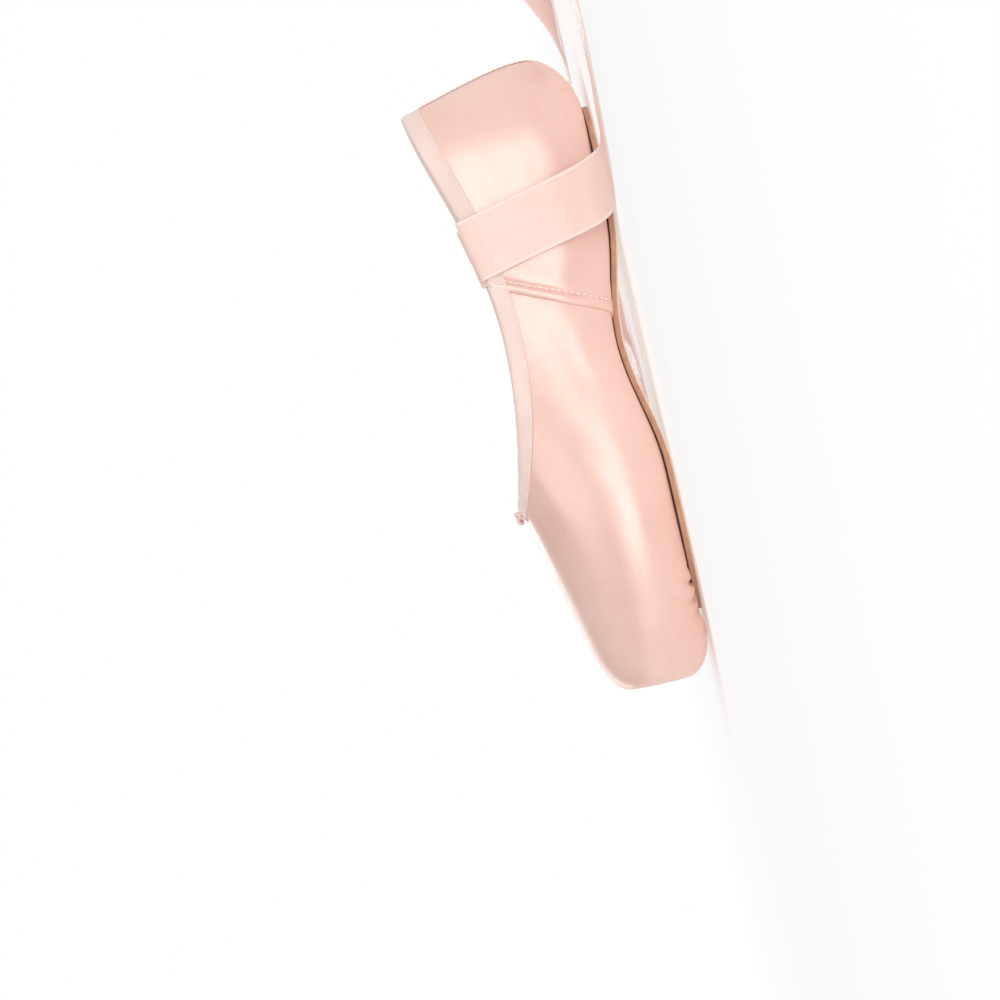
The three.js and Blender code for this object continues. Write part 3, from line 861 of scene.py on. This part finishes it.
def satin_vamp(columns=112):
    v = np.linspace(0, 1, columns) ** 1.15
    lines = (seam_s(v) - SEAM_LAP, THROAT_S, PLEATS_FROM_S, LENGTH)
    s = grid_rows(lines, (quarter_sine(58), 1 - quarter_cosine(26), quarter_sine(84)), columns)
    v = np.broadcast_to(v, s.shape)
    patches = []
    for side in (1, -1):
        points, _, along = skin_points(s, v, side, vamp_lift(s, v), relief=True)
        patches.append((points, weave(s, along), side > 0))
        cap = platform_cap(points[-1], lambda p: toe_pleats(p[..., 0], p[..., 1], p[..., 2], LENGTH))
        around = np.broadcast_to(along[-1], cap.shape[:2])
        reach = LENGTH + np.linalg.norm(cap - cap[:1], axis=-1)
        patches.append((cap, weave(reach, around), side > 0))
    made = sheet_object("satin_vamp", patches)
    thicken(made, SATIN_THICK)
    return made


def lining_sheet(columns=64):
    lines = (0, COLLAR_BACK_S, THROAT_S, LENGTH)
    s = grid_rows(lines, (cosine(18), cosine(80), cosine(44)), columns)
    v = np.broadcast_to(np.linspace(0, 1, columns), s.shape)
    patches = []
    for side in (1, -1):
        points, _, along = skin_points(s, v, side, -(WALL - LINING_THICK) * np.ones_like(s))
        patches.append((points, weave(s, along), side > 0))
        cap = platform_cap(points[-1], lambda p: np.zeros(p.shape[:-1]), rings=12, dome=0.0)
        patches.append((cap, weave(cap[..., 1], cap[..., 2]), side > 0))
    made = sheet_object("lining", patches)
    thicken(made, LINING_THICK)
    return made


def seam_line(side, v):
    """The line that the side seam's stitches follow, with the way up."""
    s = seam_s(v) - STITCH_FROM_FOLD
    lift = quarter_lift(s, v)[:, None]
    points, normal, _ = skin_points(s[:, None], v[:, None], side, lift, relief=True)
    return points[:, 0], normal[:, 0]


def seam_stitches(name, side):
    points, normals = seam_line(side, np.linspace(0.1, 0.9, 240))
    pitch, *size = STITCHES["side_seam"]
    place, ahead, up = walk(points, normals, pitch)
    lean = unit(ahead + STITCH_LEAN * np.cross(up, ahead))
    return beads(name, place + up * STITCH_PROUD, lean, up, *size)


# The station of the strip, under the heel, where its stitches end.
BACK_STITCHES_END = 100


def back_seam_tape():
    """A narrow folded strip over the seam where the two quarters meet, from the binding to the sole."""
    half_wide = 1.5
    thick = 0.3
    start_s = COLLAR_BACK_S - 0.6
    end_s = 24
    top = start_s * (1 - quarter_sine(70))
    low = end_s * (1 - quarter_cosine(60))[1:]
    s = np.concatenate([top, low])
    angle = np.where(np.arange(len(s)) < len(top), math.pi / 2, -math.pi / 2)
    z = last_point(s, angle)[1]
    normal = last_normal(s, angle)
    line = np.stack([s - LENGTH / 2, np.zeros_like(s), z], axis=-1)
    run = distance_along(line)
    below_binding = (collar_height(COLLAR_BACK_S) - z - BINDING_WIDE_AT_HEEL + 1.2) / 1.4
    lift = SEAM_LIFT - 0.5 * (1 - smooth(np.where(run < run[-1] / 2, below_binding, 1.0)))
    line = line + normal * lift[:, None]
    across = np.array([-1.0, -0.85, -0.45, 0.0, 0.45, 0.85, 1.0])
    crown = thick * np.array([0.2, 0.85, 1.0, 0.9, 1.0, 0.85, 0.2]) - 0.08 * across**2
    outer = np.stack([across * half_wide, crown], axis=-1)
    inner = np.stack([across[::-1] * half_wide, np.full(7, -0.15)], axis=-1)
    profile = np.concatenate([outer, inner])
    way = np.array([0.0, 1.0, 0.0])
    rings = line[:, None, :] + profile[None, :, :1] * way + profile[None, :, 1:] * normal[:, None, :]
    uvs = weave(run[:, None], profile[:, 0])
    tape = tube_object("back_seam_tape", rings[:, ::-1], uvs[:, ::-1])
    pitch, *size = STITCHES["back_seam"]
    stitched = slice(int(np.argmax(below_binding > 1)), BACK_STITCHES_END)
    rows = []
    for side in (-1, 1):
        edge = line + 0.7 * side * half_wide * way + normal * thick
        rows.append(walk(edge[stitched], normal[stitched], pitch, inset=1.0))
    places = (np.concatenate(parts) for parts in zip(*rows))
    return tape, beads("back_seam_stitches", *places, *size)


# ---- binding and knot

# Columns: down, the distance below the collar edge, plus the binding's width where low is 1; out, how
# far it stands proud of the last; low.
BINDING_PROFILE = [
    (0.0, 0.0, 1),
    (0.02, 0.22, 1),
    (-0.25, 0.42, 1),
    (-0.8, 0.44, 1),
    (-1.6, 0.4, 1),
    (-2.4, 0.5, 1),
    (1.7, 0.62, 0),
    (0.9, 0.6, 0),
    (0.2, 0.42, 0),
    (-0.3, 0.05, 0),
    (-0.5, -0.5, 0),
    (-0.52, -1.1, 0),
    (-0.35, -1.7, 0),
    (0.1, -2.15, 0),
    (0.9, -2.3, 0),
    (2.2, -2.3, 0),
    (-1.4, -2.3, 1),
    (-0.3, -2.28, 1),
    (0.0, -2.1, 1),
    (0.0, -1.85, 1),
    (0.3, -1.85, 0),
    (0.3, 0.0, 0),
]
BINDING_STITCH_INSET = 0.95
EDGE_STEPS = 420


def outside(points):
    """How far points are outside the last above its widest line, and which way is out."""

    def measure(p):
        half, wide, _, up, _ = section(np.maximum(p[..., 0] + LENGTH / 2, 0.05))
        over = np.maximum(p[..., 2] - wide, 0) / up
        return (np.abs(p[..., 1]) / half) ** UPPER_POWER + over**UPPER_POWER - 1

    step = 0.01
    axes = np.eye(3) * step
    slope = np.stack([measure(points + a) - measure(points - a) for a in axes], axis=-1) / (2 * step)
    size = np.linalg.norm(slope, axis=-1)
    return measure(points) / size, slope / size[..., None]


def collar_edge():
    """One closed loop of points along the collar edge, from the heel round by the left side."""
    s = COLLAR_BACK_S + (THROAT_S - COLLAR_BACK_S) * cosine(EDGE_STEPS // 2 + 1)
    height = collar_height(s)
    y = half_at(s, height)
    y[0] = y[-1] = 0
    left = np.stack([s - LENGTH / 2, y, height], axis=-1)
    right = left[1:-1][::-1] * (1, -1, 1)
    return np.concatenate([left, right])


def on_collar(edge, down, out):
    """Points below the collar edge by down and proud of the last by out."""
    ahead = unit(np.roll(edge, -1, axis=0) - np.roll(edge, 1, axis=0))
    face = outside(edge)[1]
    points = edge + unit(np.cross(face, ahead)) * np.asarray(down)[:, None]
    for _ in range(3):
        distance, way = outside(points)
        points = points - way * distance[:, None]
    normal = outside(points)[1]
    return points + normal * np.asarray(out)[:, None], normal


def binding_wide(edge):
    part = share((edge[:, 0] + LENGTH / 2) / THROAT_S)
    return BINDING_WIDE_AT_HEEL + (BINDING_WIDE_AT_THROAT - BINDING_WIDE_AT_HEEL) * part


def binding_tape():
    """The tape folded over the collar edge, gathered a little at the throat by the drawstring."""
    edge = collar_edge()
    wide = binding_wide(edge)
    run = distance_along(edge)
    near_throat = bump(edge[:, 0] - (THROAT_S - LENGTH / 2), 26)
    ripple = np.sin(run / 1.35 + 1.7 * np.sin(run / 9)) * (0.03 + 0.11 * near_throat)
    rings, uvs = [], []
    for k, (down, out, low) in enumerate(BINDING_PROFILE):
        sway = ripple * (1 if 2 < k < 16 else 0.3)
        points, _ = on_collar(edge, down + low * wide, out + sway)
        rings.append(points)
        uvs.append(weave(run, down + low * wide))
    return tube_object("binding_tape", np.stack(rings, axis=1), np.stack(uvs, axis=1), closed=True)


def binding_stitches():
    edge = collar_edge()
    wide = binding_wide(edge)
    points, normal = on_collar(edge, wide - BINDING_STITCH_INSET, np.full(len(edge), 0.5))
    pitch, *size = STITCHES["binding"]
    return beads("binding_stitches", *walk(points, normal, pitch, inset=1.0), *size)


KNOT_SIZE = 1.15
KNOT_LEAN = 0.16
KNOT_CORD_HALF = 0.62


def drawstring_knot():
    """The drawstring's small overhand knot, as one closed loop of cord."""
    low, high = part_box("drawstring_knot")
    centre = (low + high) / 2 / MM
    turn = np.linspace(0, 2 * math.pi, 121)[:-1]
    along = KNOT_SIZE * (np.sin(turn) + 2 * np.sin(2 * turn)) * 0.62
    across = KNOT_SIZE * (np.cos(turn) - 2 * np.cos(2 * turn)) * 0.78
    rise = -0.55 * KNOT_SIZE * np.sin(3 * turn)
    cos, sin = math.cos(KNOT_LEAN), math.sin(KNOT_LEAN)
    lean = np.array([[cos, 0, sin], [0, 1, 0], [-sin, 0, cos]])
    line = np.stack([along, across, rise], axis=-1) @ lean.T + np.array(centre)
    ahead = unit(np.roll(line, -1, axis=0) - np.roll(line, 1, axis=0))
    side = unit(np.cross(ahead, (0.13, 0.05, 1.0)))
    up = np.cross(side, ahead)
    around = np.linspace(0, 2 * math.pi, 13)[:-1]
    ring = np.cos(around)[None, :, None] * side[:, None, :] + np.sin(around)[None, :, None] * up[:, None, :]
    rings = line[:, None, :] + KNOT_CORD_HALF * ring
    uvs = weave(np.arange(len(line))[:, None] * 0.2, around * KNOT_CORD_HALF)
    return tube_object("drawstring_knot_cord", rings, uvs, closed=True)


# ---- outsole and insole

PLATE_STATIONS = 150
INSOLE_THICK = 1.2
INSOLE_INSET = 3


def plate(name, inset, profile):
    """A plate with the outsole's outline moved in by inset; profile gives its section's corners."""
    part = cosine(PLATE_STATIONS)
    s = OUTSOLE_START + inset + (OUTSOLE_END - OUTSOLE_START - 2 * inset) * part
    whole = OUTSOLE_START + (OUTSOLE_END - OUTSOLE_START) * part
    half = np.maximum(outsole_half(whole) * (1 - inset / OUTSOLE_TYPICAL_HALF), 0.3)
    corners = profile(half, arch_rise(s))
    rings = np.stack([np.stack([s - LENGTH / 2, y, z], axis=-1) for y, z in corners], axis=1)
    step = np.linalg.norm(np.diff(rings, axis=1), axis=2)
    around = np.concatenate([np.zeros((len(s), 1)), np.cumsum(step, axis=1)], axis=1)
    return tube_object(name, rings, weave(s[:, None], around))


def paint(thing, name, value_at):
    """Stores a value between 0 and 1 for each vertex, for the material to read."""
    layer = thing.data.attributes.new(name, "FLOAT", "POINT")
    place = np.empty(len(thing.data.vertices) * 3)
    thing.data.vertices.foreach_get("co", place)
    layer.data.foreach_set("value", value_at(place.reshape(-1, 3) / MM).astype(np.float32))


def plate_corners(bottom, low, edge, top, high, count):
    """A plate section's corners: across the bottom, up one edge, across the top, down the other."""
    across = np.linspace(-1, 1, count)
    up = [(-y, z) for y, z in edge]
    return [(-a * bottom, low) for a in across] + up + [(a * top, high) for a in across] + edge[::-1]


def outsole():
    rounding = 0.55

    def profile(half, low):
        inner = np.maximum(half - rounding, half / 2)
        high = low + OUTSOLE_THICK
        edge = [
            (half - 0.25 * (half - inner), low + 0.2),
            (half, low + rounding),
            (half + 0.05, low + OUTSOLE_THICK / 2),
            (half - 0.05, high - 0.35),
            (half - 0.1, high - 0.1),
            (half - 0.35, high),
        ]
        return plate_corners(inner, low, edge, half - 0.6, high, 15)

    made = plate("outsole_leather", 0, profile)
    paint(made, "height", lambda p: (p[:, 2] - arch_rise(p[:, 0] + LENGTH / 2)) / OUTSOLE_THICK)
    return made


def insole():
    def profile(half, low):
        low = low + OUTSOLE_THICK + SOLE_GAP + WALL + SOLE_GAP
        high = low + INSOLE_THICK
        edge = [(half, low + 0.3), (half, high - 0.3)]
        return plate_corners(half - 0.3, low, edge, half - 0.35, high, 13)

    return plate("insole_sock", INSOLE_INSET, profile)


# ---- materials


def linear(red, green, blue):
    """A colour given on the usual 0 to 255 scale, as the shader wants it."""

    def one(value):
        part = value / 255
        return part / 12.92 if part <= 0.04045 else ((part + 0.055) / 1.055) ** 2.4

    return (one(red), one(green), one(blue), 1.0)


class Material:
    """A Principled material with short ways to add nodes."""

    def __init__(self, name, **sockets):
        self.made = bpy.data.materials.new(name)
        self.made.use_nodes = True
        self.tree = self.made.node_tree
        self.shader = self.tree.nodes["Principled BSDF"]
        for socket, value in sockets.items():
            self.shader.inputs[socket.replace("_", " ")].default_value = value

    def node(self, kind, inputs=None, **settings):
        made = self.tree.nodes.new(kind)
        for key, value in settings.items():
            setattr(made, key, value)
        for key, value in (inputs or {}).items():
            if isinstance(value, bpy.types.NodeSocket):
                self.tree.links.new(value, made.inputs[key])
            else:
                made.inputs[key].default_value = value
        return made

    def weave(self, scale=(1, 1, 1), turn=0.0):
        """The cloth's own coordinates in metres, x along it and y across."""
        place = self.node("ShaderNodeUVMap", uv_map="Weave").outputs[0]
        inputs = {"Vector": place, "Scale": scale, "Rotation": (0, 0, turn)}
        return self.node("ShaderNodeMapping", inputs).outputs[0]

    def place(self, scale=(1, 1, 1)):
        """The place in the shoe, in metres."""
        place = self.node("ShaderNodeTexCoord").outputs["Object"]
        return self.node("ShaderNodeMapping", {"Vector": place, "Scale": scale}).outputs[0]

    def noise(self, vector, scale, detail=3.0, rough=0.5):
        inputs = {"Vector": vector, "Scale": scale, "Detail": detail, "Roughness": rough}
        return self.node("ShaderNodeTexNoise", inputs).outputs[0]

    def bands(self, vector, period, direction="X", distortion=0.0):
        """Even waves, one to a period in metres."""
        inputs = {"Vector": vector, "Scale": math.pi / (10 * period), "Distortion": distortion}
        settings = {"wave_type": "BANDS", "bands_direction": direction, "wave_profile": "SIN"}
        return self.node("ShaderNodeTexWave", inputs, **settings).outputs[1]

    def between(self, value, low, high, to_low=0.0, to_high=1.0):
        names = ("Value", "From Min", "From Max", "To Min", "To Max")
        inputs = dict(zip(names, (value, low, high, to_low, to_high)))
        return self.node("ShaderNodeMapRange", inputs).outputs[0]

    def math(self, operation, first, second):
        return self.node("ShaderNodeMath", {0: first, 1: second}, operation=operation).outputs[0]

    def mix(self, factor, first, second):
        made = self.node("ShaderNodeMix", {0: factor}, data_type="RGBA")
        for key, value in ((6, first), (7, second)):
            if isinstance(value, bpy.types.NodeSocket):
                self.tree.links.new(value, made.inputs[key])
            else:
                made.inputs[key].default_value = value
        return made.outputs[2]

    def attribute(self, name):
        return self.node("ShaderNodeAttribute", attribute_name=name).outputs["Fac"]

    def bump(self, height, strength, distance, below=None):
        inputs = {"Height": height, "Strength": strength, "Distance": distance}
        if below is not None:
            inputs["Normal"] = below
        return self.node("ShaderNodeBump", inputs).outputs[0]

    def set(self, socket, value):
        self.tree.links.new(value, self.shader.inputs[socket])

    def shine_along_weave(self):
        settings = {"direction_type": "UV_MAP", "uv_map": "Weave"}
        self.set("Tangent", self.node("ShaderNodeTangent", **settings).outputs[0])


SATIN_PLAIN = linear(244, 203, 187)
SATIN_DEEP = linear(234, 184, 166)
SATIN_PALE = linear(251, 223, 213)


def satin(name, turn):
    """Cotton-backed satin: smooth floats one way, with faint slubs and soft mottling."""
    made = Material(
        name,
        Roughness=0.34,
        Metallic=0.08,
        IOR=1.8,
        Anisotropic=0.5,
        Sheen_Weight=0.04,
        Sheen_Roughness=0.35,
        Sheen_Tint=linear(255, 232, 222),
        Specular_IOR_Level=1.0,
        Specular_Tint=linear(255, 244, 242),
    )
    cloud = made.noise(made.place(), 26, 4, 0.55)
    colour = made.mix(made.between(cloud, 0.3, 0.7), SATIN_DEEP, SATIN_PLAIN)
    slub = made.noise(made.weave((260, 3200, 1), turn), 1.0, 3, 0.6)
    colour = made.mix(made.between(slub, 0.45, 0.8, 0.0, 0.4), colour, SATIN_PALE)
    made.set("Base Color", colour)
    grain = made.noise(made.weave(turn=turn), 1500, 3, 0.6)
    made.set("Roughness", made.between(made.math("ADD", grain, cloud), 0.6, 1.4, 0.28, 0.36))
    floats = made.bands(made.weave(turn=turn), 0.00034, "Y", 0.6)
    ends = made.bands(made.weave(turn=turn), 0.0007, "X", 0.4)
    threads = made.math("ADD", floats, made.math("MULTIPLY", ends, 0.35))
    normal = made.bump(threads, 0.15, 0.00003)
    normal = made.bump(slub, 0.16, 0.0001, normal)
    made.set("Normal", made.bump(made.noise(made.place(), 95, 2, 0.5), 0.18, 0.0006, normal))
    made.shine_along_weave()
    return made.made


def binding_cloth():
    """Fine tape with a rib across it, paler and less glossy than the satin."""
    made = Material("binding_cloth", Roughness=0.6, Sheen_Weight=0.35, Sheen_Roughness=0.5)
    cloud = made.noise(made.place(), 60, 3)
    colour = made.mix(made.between(cloud, 0.3, 0.7), linear(238, 210, 199), linear(247, 224, 214))
    ribs = made.bands(made.weave(), 0.00052, "X", 0.8)
    colour = made.mix(made.between(ribs, 0.0, 0.35, 0.35, 0.0), colour, linear(226, 190, 176))
    made.set("Base Color", colour)
    threads = made.math("ADD", ribs, made.bands(made.weave(), 0.0004, "Y", 0.5))
    normal = made.bump(threads, 0.35, 0.00006)
    made.set("Normal", made.bump(made.noise(made.weave(), 420, 2), 0.2, 0.0004, normal))
    return made.made


def ribbon_satin():
    """Glossy satin ribbon with a fine rib lengthways and firm, paler selvages."""
    made = Material("ribbon_satin", Roughness=0.27, Anisotropic=0.55, Sheen_Weight=0.15)
    across = made.node("ShaderNodeSeparateXYZ", {0: made.weave()}).outputs[1]
    from_middle = made.math("ABSOLUTE", across, 0.0)
    selvage = made.between(from_middle, 0.0098, 0.0102)
    cloud = made.noise(made.weave((60, 220, 1)), 1.0, 3)
    colour = made.mix(made.between(cloud, 0.2, 0.8), linear(244, 208, 196), linear(248, 216, 205))
    colour = made.mix(made.math("MULTIPLY", selvage, 0.7), colour, linear(252, 232, 224))
    made.set("Base Color", colour)
    rib = made.bands(made.weave(), 0.0003, "Y", 0.3)
    picks = made.bands(made.weave(), 0.0006, "X", 0.2)
    edge = made.math("MULTIPLY", made.math("MULTIPLY", picks, selvage), 2.5)
    normal = made.bump(made.math("ADD", rib, edge), 0.25, 0.00004)
    made.set("Normal", made.bump(made.noise(made.weave((30, 90, 1)), 1.0, 2), 0.05, 0.0012, normal))
    made.set("Roughness", made.between(selvage, 0.0, 1.0, 0.27, 0.45))
    made.shine_along_weave()
    return made.made


def sole_leather():
    """Cream suede below, tan where it is cut, and a dark band along the top edge: painted shade of the gap
    under the satin.
    """
    made = Material("sole_leather", Roughness=0.85, Sheen_Weight=0.3, Sheen_Roughness=0.6)
    height = made.attribute("height")
    cloud = made.noise(made.place(), 70, 5, 0.6)
    suede = made.mix(made.between(cloud, 0.3, 0.7), linear(239, 221, 204), linear(245, 230, 215))
    fleck = made.noise(made.place(), 900, 2, 0.7)
    suede = made.mix(made.between(fleck, 0.64, 0.74, 0.0, 0.35), suede, linear(208, 178, 152))
    grain = made.between(made.noise(made.place((1, 1, 6)), 260, 4), 0.3, 0.7)
    cut = made.mix(grain, linear(186, 134, 104), linear(214, 166, 136))
    colour = made.mix(made.between(height, 0.1, 0.3), suede, cut)
    # Painted shade: the top of the cut edge turns dark brown, standing for the shadow in the gap under the
    # satin.
    colour = made.mix(made.between(height, 0.88, 0.97), colour, linear(128, 74, 52))
    made.set("Base Color", colour)
    nap = made.bump(made.noise(made.place(), 1600, 3, 0.7), 0.4, 0.00012)
    layers = made.bump(made.noise(made.place((40, 40, 900)), 1.0, 2), 0.2, 0.00015, nap)
    made.set("Normal", layers)
    return made.made


def lining_cotton(name, low, high):
    """Plain-woven cotton drill."""
    made = Material(name, Roughness=0.9, Sheen_Weight=0.2, Sheen_Roughness=0.6)
    cloud = made.noise(made.place(), 40, 4)
    colour = made.mix(made.between(cloud, 0.3, 0.7), low, high)
    warp, weft = (made.bands(made.weave(turn=0.6), 0.0006, way, 0.5) for way in "XY")
    cloth = made.math("MULTIPLY", warp, weft)
    made.set("Base Color", made.mix(made.between(cloth, 0.0, 0.3, 0.25, 0.0), colour, linear(218, 196, 176)))
    normal = made.bump(cloth, 0.4, 0.0001)
    made.set("Normal", made.bump(made.noise(made.place(), 120, 3), 0.25, 0.0006, normal))
    return made.made


def thread(name, colour, dark):
    """Twisted sewing thread."""
    made = Material(name, Roughness=0.45, Sheen_Weight=0.3)
    twist = made.bands(made.place((1, 1, 0.6)), 0.00035, "DIAGONAL", 1.0)
    made.set("Base Color", made.mix(made.between(twist, 0.0, 0.6), dark, colour))
    made.set("Normal", made.bump(twist, 0.4, 0.00005))
    return made.made


# ---- the shoe, piece by piece


def finish_piece(thing, material, slot, *nodes):
    thing.data.materials.clear()
    thing.data.materials.append(material)
    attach(thing, "root")
    if nodes:
        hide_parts(*nodes)


def build_shoe():
    vamp_satin = satin("vamp_satin", 0.0)
    quarter_satin = satin("quarter_satin", 0.12)
    stitch_thread = thread("stitch_thread", linear(253, 234, 225), linear(240, 200, 184))
    tape = binding_cloth()
    cotton = lining_cotton("lining_cotton", linear(246, 233, 220), linear(252, 243, 233))
    sock = lining_cotton("sock_cotton", linear(242, 226, 210), linear(249, 238, 225))
    leather = sole_leather()
    ribbon_cloth = ribbon_satin()
    finish_piece(satin_vamp(), vamp_satin, "satin", "upper")
    for word, side in (("left", 1), ("right", -1)):
        finish_piece(satin_quarter(f"satin_quarter_{word}", side), quarter_satin, "satin", "upper")
    finish_piece(lining_sheet(), cotton, "lining", "upper")
    for word, side in (("left", 1), ("right", -1)):
        finish_piece(seam_stitches(f"seam_stitches_{word}", side), stitch_thread, "satin")
    strip, strip_stitches = back_seam_tape()
    finish_piece(strip, quarter_satin, "satin")
    finish_piece(strip_stitches, stitch_thread, "satin")
    finish_piece(binding_tape(), tape, "binding_tape", "binding")
    finish_piece(binding_stitches(), stitch_thread, "binding_tape")
    finish_piece(drawstring_knot(), tape, "binding_tape", "drawstring_knot")
    finish_piece(outsole(), leather, "sole_leather", "outsole")
    finish_piece(insole(), sock, "lining", "insole")
    for thing in ribbons:
        thing.data.materials.append(ribbon_cloth)
    for word, side, lie, _ in RIBBONS:
        finish_piece(ribbon_stitches(f"ribbon_stitches_{word}", side, lie), stitch_thread, "ribbon_satin")


build_shoe()

# ---- floor and light


def add_stage(name, corners, faces, material):
    mesh = bpy.data.meshes.new(name)
    mesh.from_pydata(corners, [], faces)
    thing = bpy.data.objects.new(name, mesh)
    bpy.context.scene.collection.objects.link(thing)
    thing.data.materials.append(material)


def glowing(name):
    """A matt material that gives off white light."""
    white = (1.0, 1.0, 1.0, 1.0)
    black = (0.0, 0.0, 0.0, 1.0)
    return Material(
        name,
        Roughness=1.0,
        Specular_IOR_Level=0.0,
        Base_Color=black,
        Emission_Color=white,
        Emission_Strength=1.0,
    )


def add_floor():
    """A pale floor; well away from the shoe it turns into an even white glow."""
    half = 8.0
    corners = [(-half, -half, 0), (half, -half, 0), (half, half, 0), (-half, half, 0)]
    near, far = 0.35, 1.1
    near_glow, near_grey = 0.32, 0.8
    made = glowing("studio_floor")
    away = made.node("ShaderNodeVectorMath", {0: made.place()}, operation="LENGTH").outputs[1]
    made.set("Emission Strength", made.between(away, near, far, near_glow, 1.0))
    grey = made.between(away, near, far, near_grey, 0.0)
    made.set("Base Color", made.node("ShaderNodeCombineColor", {0: grey, 1: grey, 2: grey}).outputs[0])
    add_stage("studio_floor", corners, [(0, 1, 2, 3)], made.made)


def add_backdrop():
    """A low white wall all round, far away, which lights the shoe's sides."""
    away, tall, count = 6.0, 1.9, 64
    turns = [2 * math.pi * k / count for k in range(count)]
    ring = [(away * math.cos(turn), away * math.sin(turn)) for turn in turns]
    corners = [(x, y, z) for z in (-0.01, tall) for x, y in ring]
    faces = [(k, count + k, count + (k + 1) % count, (k + 1) % count) for k in range(count)]
    add_stage("studio_backdrop", corners, faces, glowing("studio_backdrop").made)


COOL_WHITE = (0.93, 0.97, 1.0)


def add_strip(name, place, aim, size, power):
    """A soft box, which the satin shows as a streak."""
    data = bpy.data.lights.new(name, "AREA")
    data.shape = "RECTANGLE"
    data.size, data.size_y = size
    data.energy = power
    data.color = COOL_WHITE
    link_light(name, data, place, aim)


def add_sun(name, place, strength, spread):
    """A very soft light from far away, the same all over the floor."""
    data = bpy.data.lights.new(name, "SUN")
    data.energy = strength
    data.angle = math.radians(spread)
    link_light(name, data, place, (0.0, 0.0, 0.0))


def link_light(name, data, place, aim):
    light = bpy.data.objects.new(name, data)
    bpy.context.scene.collection.objects.link(light)
    light.location = place
    light.rotation_euler = (Vector(aim) - Vector(place)).to_track_quat("-Z", "Y").to_euler()


WORLD_STRENGTH = 0.5


def add_world():
    world = bpy.data.worlds.new("studio")
    world.use_nodes = True
    shade = world.node_tree.nodes["Background"]
    shade.inputs["Color"].default_value = (1.0, 1.0, 1.0, 1.0)
    shade.inputs["Strength"].default_value = WORLD_STRENGTH
    bpy.context.scene.world = world


# Columns: name, place, aim, size, power.
STRIPS = (
    ("key", (-0.05, 1.6, 0.07), (0.0, 0.0, 0.03), (1.4, 0.09), 4.3),
    ("rim", (0.3, -1.1, 0.45), (0.0, 0.0, 0.03), (1.2, 0.12), 2.0),
)


def add_lights():
    add_sun("room", (-0.5, 0.9, 1.5), 0.8, 60)
    for strip in STRIPS:
        add_strip(*strip)


add_floor()
add_backdrop()
add_world()
add_lights()
bpy.context.scene.view_settings.view_transform = "Standard"
